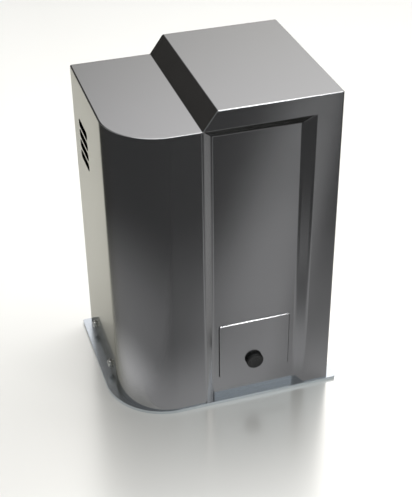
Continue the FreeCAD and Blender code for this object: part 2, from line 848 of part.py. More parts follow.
def dog_blocks(inner, outer, width, y0, y1):
    """Blocks that stand round the output axis, one for each clutch dog."""
    blocks = []
    for index in range(dog_count):
        block = box(inner, outer, y0, y1, -width / 2, width / 2)
        block.rotate(V(0, 0, 0), Y_AXIS, 360.0 * (index + 0.5) / dog_count)
        block.translate(V(gear_x, 0, gear_z))
        blocks.append(block)
    return blocks


dog_inner = shaft_radius + dog_shaft_gap
dog_outer = collar_radius - dog_rim_gap
dog_start_y = hub_back_y - dog_depth + free_gap


def worm_wheel_hub():
    body = rod_y(wheel_bore_radius, hub_front_y, hub_back_y, gear_x, gear_z)
    neck = rod_y(shaft_radius + hub_neck_wall, case_front_y, hub_front_y, gear_x, gear_z)
    bore = rod_y(shaft_radius + running_fit, case_front_y, hub_back_y, gear_x, gear_z)
    slots = dog_blocks(dog_inner - free_gap, dog_outer + free_gap, dog_width + 2 * free_gap,
                       hub_back_y - dog_depth, hub_back_y)
    return body.fuse(neck).cut([bore] + slots)


def worm_wheel_rim():
    """Bronze rim with straight teeth, leaned over to the worm's lead."""
    pitch = math.pi * worm_module
    half_thickness = (pitch - worm_backlash) / 4
    root = wheel_pitch_radius - 1.2 * worm_module
    flank = tooth_flank(worm_module, wheel_teeth, half_thickness, 3)
    buried = (root - 0.5, flank[0][1])
    side = [buried] + flank
    outline = side + [(radius, -angle) for radius, angle in side[::-1]]
    lead = math.degrees(math.atan2(pitch, 2 * math.pi * worm_pitch_radius))
    points = [V(radius * math.cos(angle), -wheel_width, radius * math.sin(angle))
              for radius, angle in outline]
    tooth = prism(points, Y_AXIS * (2 * wheel_width))
    tooth.rotate(V(0, 0, 0), X_AXIS, -lead)
    tooth = tooth.common(box(0, 2 * wheel_pitch_radius, -wheel_width / 2, wheel_width / 2,
                             -wheel_pitch_radius, wheel_pitch_radius))
    teeth = []
    for index in range(wheel_teeth):
        copy = tooth.copy()
        copy.rotate(V(0, 0, 0), Y_AXIS, 360.0 * (index + 0.5) / wheel_teeth)
        teeth.append(copy)
    rim = Part.makeCylinder(root, wheel_width, V(0, -wheel_width / 2, 0), Y_AXIS)
    bore = Part.makeCylinder(wheel_bore_radius + seat_fit, wheel_width, V(0, -wheel_width / 2, 0), Y_AXIS)
    wheel = rim.fuse(teeth).cut(bore)
    wheel.translate(V(gear_x, gear_y, gear_z))
    return wheel


def clutch_collar():
    ring = ring_y(collar_radius, shaft_radius + running_fit, collar_y, collar_y + collar_length,
                  gear_x, gear_z)
    dogs = dog_blocks(dog_inner, dog_outer, dog_width, dog_start_y, collar_y + collar_length / 2)
    hole = rod_x(clutch_pin_radius + seat_fit, gear_x - collar_radius, gear_x + collar_radius,
                 clutch_pin_y, gear_z)
    return ring.fuse(dogs).cut(hole)


def clutch_pin():
    reach = collar_radius - clutch_pin_inset
    return rod_x(clutch_pin_radius, gear_x - reach, gear_x + reach, clutch_pin_y, gear_z)


def release_rod():
    """Push rod inside the hollow shaft, pointed where the lever's cam meets it."""
    nose_y = rod_front_y + release_rod_radius * 0.7
    nose = Part.makeCone(release_rod_radius * 0.2, release_rod_radius, nose_y - rod_front_y,
                         V(gear_x, rod_front_y, gear_z), Y_AXIS)
    bar = rod_y(release_rod_radius, nose_y, rod_back_y, gear_x, gear_z)
    hole = rod_x(clutch_pin_radius + seat_fit, gear_x - release_rod_radius, gear_x + release_rod_radius,
                 clutch_pin_y, gear_z)
    return bar.fuse(nose).cut(hole)


save("output_shaft", output_shaft())
save("worm_wheel_hub", worm_wheel_hub())
save("worm_wheel_rim", worm_wheel_rim())
save("clutch_collar", clutch_collar())
save("clutch_pin", clutch_pin())
save("release_rod", release_rod())


# Rack pinion on the shaft's outer end

def pinion():
    half_thickness = math.pi * pinion_module / 4
    root = pinion_module * (pinion_teeth / 2 - 1.25)
    flank = tooth_flank(pinion_module, pinion_teeth, half_thickness, 4)
    side = [(root, flank[0][1])] + flank
    points = []
    for index in range(pinion_teeth):
        turn = 2 * math.pi * index / pinion_teeth
        rising = [(radius, turn - angle) for radius, angle in side]
        falling = [(radius, turn + angle) for radius, angle in side[::-1]]
        for radius, angle in rising + falling:
            points.append(V(gear_x + radius * math.cos(angle), pinion_y0,
                            gear_z + radius * math.sin(angle)))
    gear = prism(points, Y_AXIS * pinion_width)
    bore = rod_y(shaft_radius + seat_fit, pinion_y0, pinion_y1, gear_x, gear_z)
    slot = box(gear_x - key_width / 2 - seat_fit, gear_x + key_width / 2 + seat_fit, pinion_y0, pinion_y1,
               gear_z, key_z0 + key_height + seat_fit)
    return gear.cut([bore, slot])


def pinion_key():
    return box(gear_x - key_width / 2, gear_x + key_width / 2, key_y0, key_y1, key_z0, key_z0 + key_height)


save("pinion", pinion())
save("pinion_key", pinion_key())
save("pinion_washer", ring_y(pinion_washer_radius, end_bolt_radius + seat_fit, pinion_y1,
                             pinion_y1 + pinion_washer_thickness, gear_x, gear_z))
save("pinion_bolt", bolt(end_bolt_radius, end_bolt_length * 0.9,
                         end_bolt_radius * 1.6, end_bolt_radius * 1.6,
                         V(gear_x, pinion_y1 + pinion_washer_thickness, gear_z), Y_AXIS * -1))


# Release lever with its cam, grip and pivot pin

grip_wall = 3.0
arm_end_z = gear_z - lever_length


def release_lever():
    """Flat lever that hangs down; its spiral cam rises as the lever is pulled out."""
    x0 = gear_x - lever_thickness / 2
    rise = release_stroke / (math.pi / 2)
    points = []
    for step in range(13):
        angle = math.pi / 2 * step / 12
        radius = cam_start_radius + rise * angle
        points.append(V(x0, lever_pivot_y + radius * math.cos(angle), gear_z + radius * math.sin(angle)))
    half = lever_width / 2
    points.append(V(x0, lever_pivot_y - half, gear_z + cam_start_radius))
    points.append(V(x0, lever_pivot_y - half, arm_end_z))
    points.append(V(x0, lever_pivot_y + half, arm_end_z))
    points.append(V(x0, lever_pivot_y + half, gear_z - cam_start_radius))
    plate = prism(points, X_AXIS * lever_thickness)
    hole = rod_x(lever_pin_radius + running_fit, x0, x0 + lever_thickness, lever_pivot_y, gear_z)
    return plate.cut(hole)


def lever_grip():
    half_x = lever_thickness / 2
    half_y = lever_width / 2
    y = lever_pivot_y
    sleeve = box(gear_x - half_x - grip_wall, gear_x + half_x + grip_wall, y - half_y - grip_wall,
                 y + half_y + grip_wall, arm_end_z - grip_wall, arm_end_z + grip_length)
    sleeve = sleeve.makeChamfer(grip_wall * 0.6, sleeve.Edges)
    socket = box(gear_x - half_x - seat_fit, gear_x + half_x + seat_fit, y - half_y - seat_fit,
                 y + half_y + seat_fit, arm_end_z, arm_end_z + grip_length)
    return sleeve.cut(socket)


save("release_lever", release_lever())
save("lever_grip", lever_grip())
save("release_pivot_pin", rod_x(lever_pin_radius, gear_x - ear_outer, gear_x + ear_outer,
                                lever_pivot_y, gear_z))


# Motor: worm shaft with the rotor, stator, finned frame, fan and cowl

worm_pitch = math.pi * worm_module
worm_root_radius = worm_pitch_radius - 1.2 * worm_module
worm_tip_radius = worm_pitch_radius + worm_module
worm_start_z = gear_z - worm_turns * worm_pitch / 2
worm_low_end = low_bearing_z + low_bearing_width
fan_z = motor_top_z + end_shield_thickness + fan_gap
stator_z = motor_base_z + stator_start
stator_top_z = stator_z + stator_length
frame_bore = motor_frame_radius - motor_frame_wall
frame_floor = motor_frame_wall


def worm_thread():
    """One-start thread, swept along its helix, with a tooth of the worm at the wheel's middle."""
    half_pitch = (worm_pitch - worm_backlash) / 4
    slope = math.tan(pressure_angle)
    inner = worm_root_radius - 0.4
    low_half = half_pitch + (worm_pitch_radius - inner) * slope
    tip_half = half_pitch - (worm_tip_radius - worm_pitch_radius) * slope
    outline = Part.makePolygon([V(inner, 0, -low_half), V(worm_tip_radius, 0, -tip_half),
                                V(worm_tip_radius, 0, tip_half), V(inner, 0, low_half),
                                V(inner, 0, -low_half)])
    path = Part.Wire(Part.makeHelix(worm_pitch, worm_turns * worm_pitch, worm_pitch_radius).Edges)
    return path.makePipeShell([outline], True, True)


def worm_shaft():
    steps = [(low_bearing_bore, low_bearing_z + free_gap, worm_low_end),
             (worm_root_radius, worm_low_end, gear_z + 1.5 * wheel_pitch_radius * 0.6),
             (rotor_shaft_radius, gear_z + 1.5 * wheel_pitch_radius * 0.6, high_bearing_z),
             (high_bearing_bore, high_bearing_z, motor_base_z + free_gap),
             (rotor_shaft_radius, motor_base_z + free_gap, top_bearing_z - free_gap),
             (top_bearing_bore, top_bearing_z - free_gap, fan_z + fan_height)]
    stepped = [rod_z(radius, z0, z1, 0, 0) for radius, z0, z1 in steps]
    thread = worm_thread()
    thread.translate(V(0, 0, worm_start_z))
    shaft = stepped[0].fuse(stepped[1:] + [thread])
    shaft.translate(V(worm_x, worm_y, 0))
    return shaft


def rotor_core():
    stack = rod_z(rotor_radius, stator_z, stator_top_z, worm_x, worm_y)
    ring_end = winding_length / 2
    low = rod_z(rotor_radius * 0.94, stator_z - ring_end, stator_z, worm_x, worm_y)
    high = rod_z(rotor_radius * 0.94, stator_top_z, stator_top_z + ring_end, worm_x, worm_y)
    bore = rod_z(rotor_shaft_radius + seat_fit, stator_z - ring_end, stator_top_z + ring_end,
                 worm_x, worm_y)
    return stack.fuse([low, high]).cut(bore)


def stator_core():
    return ring_z(frame_bore - seat_fit, rotor_radius + air_gap, stator_z, stator_top_z, worm_x, worm_y)


def stator_windings():
    """The two end turns of the copper winding."""
    outer = frame_bore - winding_gap
    inner = rotor_radius + winding_gap
    return group([ring_z(outer, inner, z0, z0 + winding_length, worm_x, worm_y)
                  for z0 in (stator_z - winding_length, stator_top_z)])


def motor_frame():
    tube = rod_z(motor_frame_radius, motor_base_z, motor_top_z, worm_x, worm_y)
    flange = rod_z(motor_flange_radius, motor_base_z, motor_base_z + motor_foot_thickness, worm_x, worm_y)
    fins = []
    for index in range(fin_count):
        fin = box(motor_frame_radius - 1.0, fin_radius, -fin_thickness / 2, fin_thickness / 2,
                  motor_base_z + fin_start, motor_top_z)
        fin.rotate(V(0, 0, 0), Z_AXIS, 360.0 * index / fin_count)
        fin.translate(V(worm_x, worm_y, 0))
        fins.append(fin)
    bore = rod_z(frame_bore, motor_base_z + frame_floor, motor_top_z, worm_x, worm_y)
    eye = rod_z(high_bearing_radius * 0.75, motor_base_z, motor_top_z, worm_x, worm_y)
    holes = [rod_z(bolt_radius + hole_gap, motor_base_z, motor_base_z + motor_foot_thickness, x, y)
             for x, y in motor_bolt_points]
    return tube.fuse([flange] + fins).cut([bore, eye] + holes)


def motor_end_shield():
    top = motor_top_z + end_shield_thickness
    disc = rod_z(cowl_radius - cowl_sheet - seat_fit, motor_top_z, top, worm_x, worm_y)
    spigot = ring_z(frame_bore - seat_fit, frame_bore - spigot_wall, motor_top_z - spigot_depth, motor_top_z,
                    worm_x, worm_y)
    seat = rod_z(top_bearing_radius + seat_fit, top_bearing_z, top, worm_x, worm_y)
    eye = rod_z(rotor_shaft_radius + shaft_eye_gap, motor_top_z, top_bearing_z, worm_x, worm_y)
    return disc.fuse(spigot).cut([seat, eye])


def motor_fan():
    hub = rod_z(top_bearing_bore * 2, fan_z, fan_z + fan_height, worm_x, worm_y)
    disc = rod_z(fan_radius, fan_z, fan_z + fan_sheet, worm_x, worm_y)
    blades = []
    for index in range(fan_blades):
        blade = box(top_bearing_bore, fan_radius, -fan_sheet / 2, fan_sheet / 2, fan_z, fan_z + fan_height)
        blade.rotate(V(0, 0, 0), Z_AXIS, 360.0 * index / fan_blades)
        blade.translate(V(worm_x, worm_y, 0))
        blades.append(blade)
    bore = rod_z(top_bearing_bore + seat_fit, fan_z, fan_z + fan_height, worm_x, worm_y)
    return hub.fuse([disc] + blades).cut(bore)


def fan_cowl():
    top = motor_top_z + cowl_height
    shell = rod_z(cowl_radius, motor_top_z, top, worm_x, worm_y)
    shell = shell.makeChamfer(cowl_sheet * 0.8, [shell.Edges[0]])
    hollow = rod_z(cowl_radius - cowl_sheet, motor_top_z, top - cowl_sheet, worm_x, worm_y)
    slots = []
    for index in range(cowl_slots):
        slot = box(cowl_radius * 0.3, cowl_radius * 0.82, -cowl_slot_width / 2, cowl_slot_width / 2,
                   top - 2 * cowl_sheet, top + cowl_sheet)
        slot.rotate(V(0, 0, 0), Z_AXIS, 360.0 * index / cowl_slots)
        slot.translate(V(worm_x, worm_y, 0))
        slots.append(slot)
    return shell.cut([hollow] + slots)


def motor_bolts():
    length = motor_foot_thickness + motor_flange_thickness * 0.8
    seat_z = motor_base_z + motor_foot_thickness
    return group([bolt(bolt_radius, length, bolt_head_radius, bolt_head_height,
                       V(x, y, seat_z), Z_AXIS * -1) for x, y in motor_bolt_points])


save("worm_shaft", worm_shaft())
save("rotor_core", rotor_core())
save("stator_core", stator_core())
save("stator_windings", stator_windings())
save("motor_frame", motor_frame())
save("motor_end_shield", motor_end_shield())
save("motor_fan", motor_fan())
save("fan_cowl", fan_cowl())
save("motor_bolts", motor_bolts())


# Electrics: stand, control board with its parts, transformer and capacitor

stand_x = foot_x0 - stand_gap - stand_foot
core_x = x_left + core_from_wall
capacitor_x = x_left + capacitor_from_wall
board_x1 = stand_x - board_gap
board_x0 = board_x1 - board_thickness
board_y0 = stand_front_y + board_margin
board_y1 = stand_back_y - board_margin
board_z0 = z_plate + board_bottom
board_z1 = board_z0 + board_height


def board_bracket():
    """Upright sheet with a foot on the plate and two lightening windows."""
    upright = box(stand_x, stand_x + stand_sheet, stand_front_y, stand_back_y,
                  z_plate, z_plate + stand_height)
    foot = box(stand_x, stand_x + stand_foot, stand_front_y, stand_back_y, z_plate, z_plate + stand_sheet)
    middle = (stand_front_y + stand_back_y) / 2
    window = board_margin * 4
    windows = []
    for y in (middle - window, middle + board_margin):
        windows.append(box(stand_x, stand_x + stand_sheet, y, y + window - board_margin,
                           z_plate + board_margin * 4, board_z0 - board_margin * 2))
    return upright.fuse(foot).cut(windows)


def board_spacers():
    inset = board_margin * 0.6
    return group([rod_x(spacer_radius, board_x1, stand_x, y, z)
                  for y in (board_y0 + inset, board_y1 - inset)
                  for z in (board_z0 + inset * 4, board_z1 - inset)])


def row_of_blocks(depth, width, height, count, z0):
    """Equal blocks on the board's outer face, spread along its width."""
    pitch = (board_y1 - board_y0 - board_margin) / count
    blocks = []
    for index in range(count):
        y_mid = board_y0 + board_margin / 2 + pitch * (index + 0.5)
        blocks.append(box(board_x0 - depth, board_x0, y_mid - width / 2, y_mid + width / 2,
                          z0, z0 + height))
    return blocks


def terminal_blocks():
    """Screw terminals, each with three wire entries in its lower face."""
    blocks = []
    z0 = board_z0 + board_margin * 0.3
    for block in row_of_blocks(terminal_depth, terminal_width, terminal_height, terminal_count, z0):
        limits = block.BoundBox
        third = limits.YLength / 3
        x_mid = (limits.XMin + limits.XMax) / 2
        half = third * 0.3
        y_mids = [limits.YMin + third * (place + 0.5) for place in range(3)]
        entries = [box(x_mid - half, x_mid + half, y - half, y + half, limits.ZMin, limits.ZMin + half * 3)
                   for y in y_mids]
        blocks.append(block.cut(entries))
    return group(blocks)


def transformer_core():
    """Stacked plates with two windows round a middle leg."""
    half_x = core_depth / 2
    half_y = core_width / 2
    yoke = core_leg / 2
    stack = box(core_x - half_x, core_x + half_x, core_y - half_y, core_y + half_y,
                z_plate, z_plate + core_height)
    windows = []
    for y0, y1 in ((core_y - half_y + yoke, core_y - yoke), (core_y + yoke, core_y + half_y - yoke)):
        windows.append(box(core_x - half_x, core_x + half_x, y0, y1,
                           z_plate + yoke, z_plate + core_height - yoke))
    return stack.cut(windows)


def transformer_coil():
    yoke = core_leg / 2
    half_x = core_depth / 2 + coil_overhang
    half_y = core_width / 2 - yoke - free_gap
    z0 = z_plate + yoke + free_gap
    z1 = z_plate + core_height - yoke - free_gap
    winding = box(core_x - half_x, core_x + half_x, core_y - half_y, core_y + half_y, z0, z1)
    uprights = [edge for edge in winding.Edges if abs(edge.tangentAt(0).z) > 0.9]
    winding = winding.makeFillet(coil_overhang * 0.6, uprights)
    leg = box(core_x - core_depth / 2 - seat_fit, core_x + core_depth / 2 + seat_fit,
              core_y - yoke - seat_fit, core_y + yoke + seat_fit, z0, z1)
    return winding.cut(leg)


def run_capacitor():
    top = z_plate + capacitor_height
    can = rod_z(capacitor_radius, z_plate, top, capacitor_x, capacitor_y)
    can = can.makeChamfer(can_edge, [edge for edge in can.Edges if edge.CenterOfMass.z > top - can_edge])
    tabs = [box(capacitor_x + x - tab_width / 2, capacitor_x + x + tab_width / 2,
                capacitor_y - tab_sheet / 2, capacitor_y + tab_sheet / 2,
                top - tab_sheet / 2, top + tab_height) for x in (-tab_spread, tab_spread)]
    return can.fuse(tabs)


def capacitor_clip():
    inner = capacitor_radius + seat_fit
    band = ring_z(inner + clip_wall, inner, z_plate, z_plate + clip_height, capacitor_x, capacitor_y)
    foot = box(capacitor_x - clip_foot_width / 2, capacitor_x + clip_foot_width / 2,
               capacitor_y + inner, capacitor_y + inner + clip_foot, z_plate, z_plate + clip_wall)
    split = box(capacitor_x - clip_split / 2, capacitor_x + clip_split / 2,
                capacitor_y - inner - 2 * clip_wall, capacitor_y - inner / 2, z_plate, z_plate + clip_height)
    return band.fuse(foot).cut(split)


save("board_bracket", board_bracket())
save("control_board", box(board_x0, board_x1, board_y0, board_y1, board_z0, board_z1))
save("board_spacers", board_spacers())
save("board_relays", group(row_of_blocks(relay_depth, relay_width, relay_height, relay_count,
                                         board_z1 - relay_height - board_margin * 2)))
save("terminal_blocks", terminal_blocks())
save("transformer_core", transformer_core())
save("transformer_coil", transformer_coil())
save("run_capacitor", run_capacitor())
save("capacitor_clip", capacitor_clip())


# Limit switch: bracket on the gearbox cover, body behind the back wall, sprung lever outside it

switch_y1 = switch_y0 + switch_depth
switch_bottom_z = switch_z - switch_height / 2
switch_top_z = switch_z + switch_height / 2
switch_hub_y = y_back + switch_wall_gap
shelf_z = switch_bottom_z - switch_plate - switch_shelf_drop
switch_leg_z = gear_z + boss_radius + switch_leg_gap


def limit_switch_bracket():
    x0 = switch_x - switch_plate_width / 2
    x1 = switch_x + switch_plate_width / 2
    leg = box(x0, x1, case_cover_y, case_cover_y + switch_plate, switch_leg_z, shelf_z)
    shelf = box(x0, x1, case_cover_y, switch_y0, shelf_z, shelf_z + switch_plate)
    upright = box(x0, x1, switch_y0 - switch_plate, switch_y0, shelf_z, switch_top_z)
    return leg.fuse([shelf, upright])


def limit_switch_body():
    half = switch_width / 2
    body = box(switch_x - half, switch_x + half, switch_y0, switch_y1, switch_bottom_z, switch_top_z)
    along = [edge for edge in body.Edges if abs(edge.tangentAt(0).y) > 0.9]
    body = body.makeFillet(switch_edge_radius, along)
    hole = rod_y(switch_shaft_radius + running_fit, switch_y1 - switch_depth * 0.4, switch_y1,
                 switch_x, switch_z)
    return body.cut(hole)


def limit_switch_lever():
    shaft = rod_y(switch_shaft_radius, switch_y1 - switch_depth * 0.35, switch_hub_y, switch_x, switch_z)
    hub = rod_y(switch_hub_radius, switch_hub_y, switch_hub_y + switch_hub_width, switch_x, switch_z)
    socket = rod_z(whip_radius + seat_fit, switch_z, switch_z + switch_hub_radius, switch_x,
                   switch_hub_y + switch_hub_width / 2)
    return shaft.fuse(hub).cut(socket)


def limit_switch_whip():
    y = switch_hub_y + switch_hub_width / 2
    top = switch_z + whip_length
    whip = rod_z(whip_radius, switch_z, top, switch_x, y)
    tip = Part.makeCone(whip_radius * 1.6, whip_radius, whip_radius * 2, V(switch_x, y, top), Z_AXIS)
    return whip.fuse(tip)


save("limit_switch_bracket", limit_switch_bracket())
save("limit_switch_body", limit_switch_body())
save("limit_switch_lever", limit_switch_lever())
save("limit_switch_whip", limit_switch_whip())
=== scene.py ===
import json
import math

import bmesh
import bpy
from mathutils import Matrix, Vector


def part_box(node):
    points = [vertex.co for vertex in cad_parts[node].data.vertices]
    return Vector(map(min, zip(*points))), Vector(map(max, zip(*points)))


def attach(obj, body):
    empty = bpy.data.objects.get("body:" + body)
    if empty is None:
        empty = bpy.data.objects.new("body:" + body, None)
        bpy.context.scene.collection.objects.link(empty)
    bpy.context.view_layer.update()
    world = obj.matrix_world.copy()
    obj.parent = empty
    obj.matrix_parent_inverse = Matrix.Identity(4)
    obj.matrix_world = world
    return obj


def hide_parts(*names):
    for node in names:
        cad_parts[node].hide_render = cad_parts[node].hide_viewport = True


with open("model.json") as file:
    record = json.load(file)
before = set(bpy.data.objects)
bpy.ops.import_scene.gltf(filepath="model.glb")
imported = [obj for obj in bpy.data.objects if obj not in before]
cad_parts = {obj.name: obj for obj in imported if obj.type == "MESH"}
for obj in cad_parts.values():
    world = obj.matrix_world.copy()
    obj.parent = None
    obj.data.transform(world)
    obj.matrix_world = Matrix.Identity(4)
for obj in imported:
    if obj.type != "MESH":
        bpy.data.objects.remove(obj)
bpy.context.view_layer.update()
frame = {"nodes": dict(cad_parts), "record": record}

scene = bpy.context.scene

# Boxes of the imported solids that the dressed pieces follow, in metres
wall_low, wall_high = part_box("cover_wall")
top_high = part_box("cover_top")[1]
plate_low, plate_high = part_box("base_plate")
hatch_low, hatch_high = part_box("hatch_door")

# Cover
SHEET = 0.0015
CORNER = 0.075
CORNER_STEPS = 48
BEND = 0.003
BEND_STEPS = 6
LOWER_WIDTH = 0.114
SLOPE_RUN = 0.019
STEP_RISE = 0.026
RECESS_WIDTH = 0.148
RECESS_DEPTH = 0.0088
RECESS_CHAMFER = 0.013
SLOPE_X = wall_low[0] + LOWER_WIDTH
Z_PLATE = wall_low[2]
Z_HIGH = top_high[2]
Z_LOW = Z_HIGH - STEP_RISE
Y_FRONT = wall_low[1]
Y_BACK = wall_high[1]
PANEL_Y = Y_FRONT + RECESS_DEPTH

# Rounding of the cover's folds: the full width, and each fold's share of it
FOLD = 0.003
FOLD_STEPS = 4
RAISED_TOP_FOLD = 0.55
LOWER_TOP_FOLD = 0.3
LEFT_TOP_FOLD = 0.75
LEFT_TOP_TAPER_STEPS = 24
RIDGE_FOLD = 0.6
STEP_FOLD = 0.3
LEFT_POST_FOLD = 0.8
RIGHT_POST_FOLD = 0.9
LINTEL_FOLD = 0.12
PANEL_SIDE_FOLD = 0.9
PANEL_TOP_FOLD = 0.15
MITRE_FOLD = 0.2

# Openings in the cover
VENT_COUNT = 4
VENT_LENGTH = 0.052
VENT_HEIGHT = 0.0125
VENT_PITCH = 0.0159
VENT_DROP = 0.068
VENT_Y = 0.0595
VENT_FLARE = 0.9
VENT_OVERCUT = 0.001
VENT_END_STEPS = 14
PINION_OPENING = 0.0185
LEVER_OPENING = 0.006
BACK_OVERCUT = 0.006
HATCH_GAP = 0.001
HATCH_TOP_GAP = 0.0008
HATCH_OPENING_CORNER = 0.003
HATCH_OVERCUT_FRONT = 0.003
HATCH_CUT_DEPTH = 0.008

# Hatch: its leaf, the ears on the hinge pin and the lip bent along its top edge
LEAF_CORNER = 0.002
LEAF_EDGE = 0.0012
LEAF_EDGE_SHARE = 0.35
LEAF_EDGE_STEPS = 3
HINGE_INSET = 0.004
HINGE_DROP = 0.008
EAR_RADIUS = 0.003
EAR_WIDTH = 0.003
EAR_INSET = 0.003
EAR_STEPS = 12
LIP_FRONT = 0.0012
LIP_BACK = 0.0024
LIP_DROP = 0.0018
LIP_RISE = 0.0010
LIP_OVERCUT = 0.01
NEAR = 0.0001

# Turn knob: pairs of radius and distance from the hatch
KNOB_PROFILE = [(0.0110, 0.0004), (0.0112, 0.0012), (0.0118, 0.0018), (0.0124, 0.0023), (0.0125, 0.0028),
                (0.0125, 0.0046), (0.0123, 0.0054), (0.0118, 0.0060), (0.0111, 0.0064), (0.0103, 0.0065),
                (0.0094, 0.0063), (0.0078, 0.0060), (0.0050, 0.0058), (0.0002, 0.0057)]
KNOB_STEPS = 168
FLUTES = 14
FLUTE_DEPTH = 0.03
FLUTED_FROM = 0.0120
STEM_RADIUS = 0.004
STEM_BACK = -0.0061
STEM_FRONT = 0.0006

# Base plate
PLATE_CORNER = 0.088
PLATE_SMALL_CORNER = 0.003
PLATE_CORNER_STEPS = 40
PLATE_EDGE = 0.00025
GROMMET_HOLE = 0.018
ANCHOR_HOLE = 0.006
ANCHOR_X = 0.110
ANCHOR_Y = 0.095
HOLE_OVERCUT = 0.005
HOLE_CUT_DEPTH = 0.02

# Cover screws: head with washer as pairs of radius and distance from the wall
SCREW_HEAD = [(0.0066, 0.0), (0.0068, 0.0004), (0.0066, 0.0009), (0.0055, 0.0011), (0.0055, 0.0024),
              (0.0052, 0.0034), (0.0044, 0.0041), (0.0030, 0.0045), (0.0003, 0.0045)]
SCREW_SHANK = [(0.0025, -0.010), (0.0025, -0.0002)]
SCREW_STEPS = 40
SCREW_YS = (-0.0125, 0.0865)
SLOT_HALF_LENGTH = 0.0028
SLOT_HALF_WIDTH = 0.0005
SLOT_FLOOR = 0.0030
SLOT_CUT_DEPTH = 0.004
SLOT_TURN = 20

# Whip of the limit switch: a close-wound spring over a core, and its tip as radius and distance from the top
WHIP_RADIUS = 0.0025
WHIP_WIRE = 0.0007
WHIP_COIL = WHIP_RADIUS - WHIP_WIRE
WHIP_PITCH = 0.00155
WHIP_TURN_STEPS = 18
WHIP_SOCKET = 0.004
WHIP_TIP_LENGTH = 0.012
WHIP_CORE = 0.0011
WHIP_TIP = [(0.0024, 0.0130), (0.0027, 0.0125), (0.0027, 0.0060), (0.0038, 0.0050),
            (0.0040, 0.0040), (0.0038, 0.0020), (0.0029, 0.0005), (0.0018, 0.0)]


# Mesh helpers

def new_piece(name, bm):
    """Object made from a bmesh, with its normals outwards and smooth faces."""
    bmesh.ops.recalc_face_normals(bm, faces=bm.faces)
    for face in bm.faces:
        face.smooth = True
    mesh = bpy.data.meshes.new(name)
    bm.to_mesh(mesh)
    bm.free()
    piece = bpy.data.objects.new(name, mesh)
    scene.collection.objects.link(piece)
    return piece


def bake(piece):
    """Make a piece's modifiers part of its mesh."""
    bpy.context.view_layer.update()
    graph = bpy.context.evaluated_depsgraph_get()
    baked = bpy.data.meshes.new_from_object(piece.evaluated_get(graph))
    old = piece.data
    piece.modifiers.clear()
    piece.data = baked
    bpy.data.meshes.remove(old)


def cut(piece, cutters):
    """Cut shapes out of a piece, and take the cutters away."""
    for cutter in cutters:
        change = piece.modifiers.new("cut", "BOOLEAN")
        change.operation = "DIFFERENCE"
        change.solver = "EXACT"
        change.object = cutter
    bake(piece)
    for cutter in cutters:
        mesh = cutter.data
        bpy.data.objects.remove(cutter)
        bpy.data.meshes.remove(mesh)


def weighted_bevel(piece, width, steps):
    """Rounding that each edge takes by its own weight."""
    bevel = piece.modifiers.new("folds", "BEVEL")
    bevel.limit_method = "WEIGHT"
    bevel.width = width
    bevel.segments = steps
    return bevel


def soften(piece, width, steps, angle=35):
    """Round the sharp edges, and keep flat faces flat in the shading."""
    bevel = piece.modifiers.new("edges", "BEVEL")
    bevel.width = width
    bevel.segments = steps
    bevel.limit_method = "ANGLE"
    bevel.angle_limit = math.radians(angle)
    settle(piece, angle)


def settle(piece, angle=35):
    """Sharp edges by angle, then weighted normals."""
    bake(piece)
    for polygon in piece.data.polygons:
        polygon.use_smooth = True
    piece.data.set_sharp_from_angle(angle=math.radians(angle))
    weighted = piece.modifiers.new("normals", "WEIGHTED_NORMAL")
    weighted.keep_sharp = True
    bake(piece)


def centre(node):
    """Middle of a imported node's box."""
    low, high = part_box(node)
    return [(first + second) / 2 for first, second in zip(low, high)]


def arc(x, y, radius, start, end, steps):
    """Points on an arc, angles in degrees."""
    points = []
    for step in range(steps + 1):
        angle = math.radians(start + (end - start) * step / steps)
        points.append((x + radius * math.cos(angle), y + radius * math.sin(angle)))
    return points


def circle(x, y, radius):
    """Points around a circle, ten degrees apart."""
    return arc(x, y, radius, 0, 350, 35)


def rounded_box(x0, y0, x1, y1, radii, steps):
    """Outline with rounded corners: front left, front right, back right, back left."""
    points = arc(x0 + radii[0], y0 + radii[0], radii[0], 180, 270, steps[0])
    points += arc(x1 - radii[1], y0 + radii[1], radii[1], 270, 360, steps[1])
    points += arc(x1 - radii[2], y1 - radii[2], radii[2], 0, 90, steps[2])
    points += arc(x0 + radii[3], y1 - radii[3], radii[3], 90, 180, steps[3])
    return points


def polar(radius, angle, height=0.0):
    """Point about the Z axis, the angle in radians."""
    return Vector((radius * math.cos(angle), radius * math.sin(angle), height))


def skin(bm, rings):
    """Closed solid over rings of points: a band between each two, and a cap at each end."""
    loops = [[bm.verts.new(point) for point in ring] for ring in rings]
    for near, far in zip(loops, loops[1:]):
        for index in range(len(near)):
            following = (index + 1) % len(near)
            bm.faces.new((near[index], near[following], far[following], far[index]))
    bm.faces.new(loops[0][::-1])
    bm.faces.new(loops[-1])


def prism(bm, outline, direction):
    """Closed solid from an outline of points, pushed along a direction."""
    skin(bm, [outline, [Vector(point) + Vector(direction) for point in outline]])


def lathe(bm, profile, place, steps, wave=None):
    """Turned solid: pairs of radius and height, about the Z axis of a placing matrix."""
    rings = []
    for radius, height in profile:
        ring = []
        for step in range(steps):
            angle = 2 * math.pi * step / steps
            reach = radius * (wave(angle, radius) if wave else 1.0)
            ring.append(place @ polar(reach, angle, height))
        rings.append(ring)
    skin(bm, rings)


def tube(bm, points, radius, sides):
    """Round wire along points, its rings square to the path."""
    rings = []
    for index, point in enumerate(points):
        ahead = points[min(index + 1, len(points) - 1)] - points[max(index - 1, 0)]
        turn = ahead.to_track_quat("Z", "Y").to_matrix()
        rings.append([point + turn @ polar(radius, 2 * math.pi * side / sides) for side in range(sides)])
    skin(bm, rings)


def cutter_from(outline, direction):
    """Cutting shape from an outline of points, pushed along a direction."""
    bm = bmesh.new()
    prism(bm, outline, direction)
    return new_piece("cutter", bm)


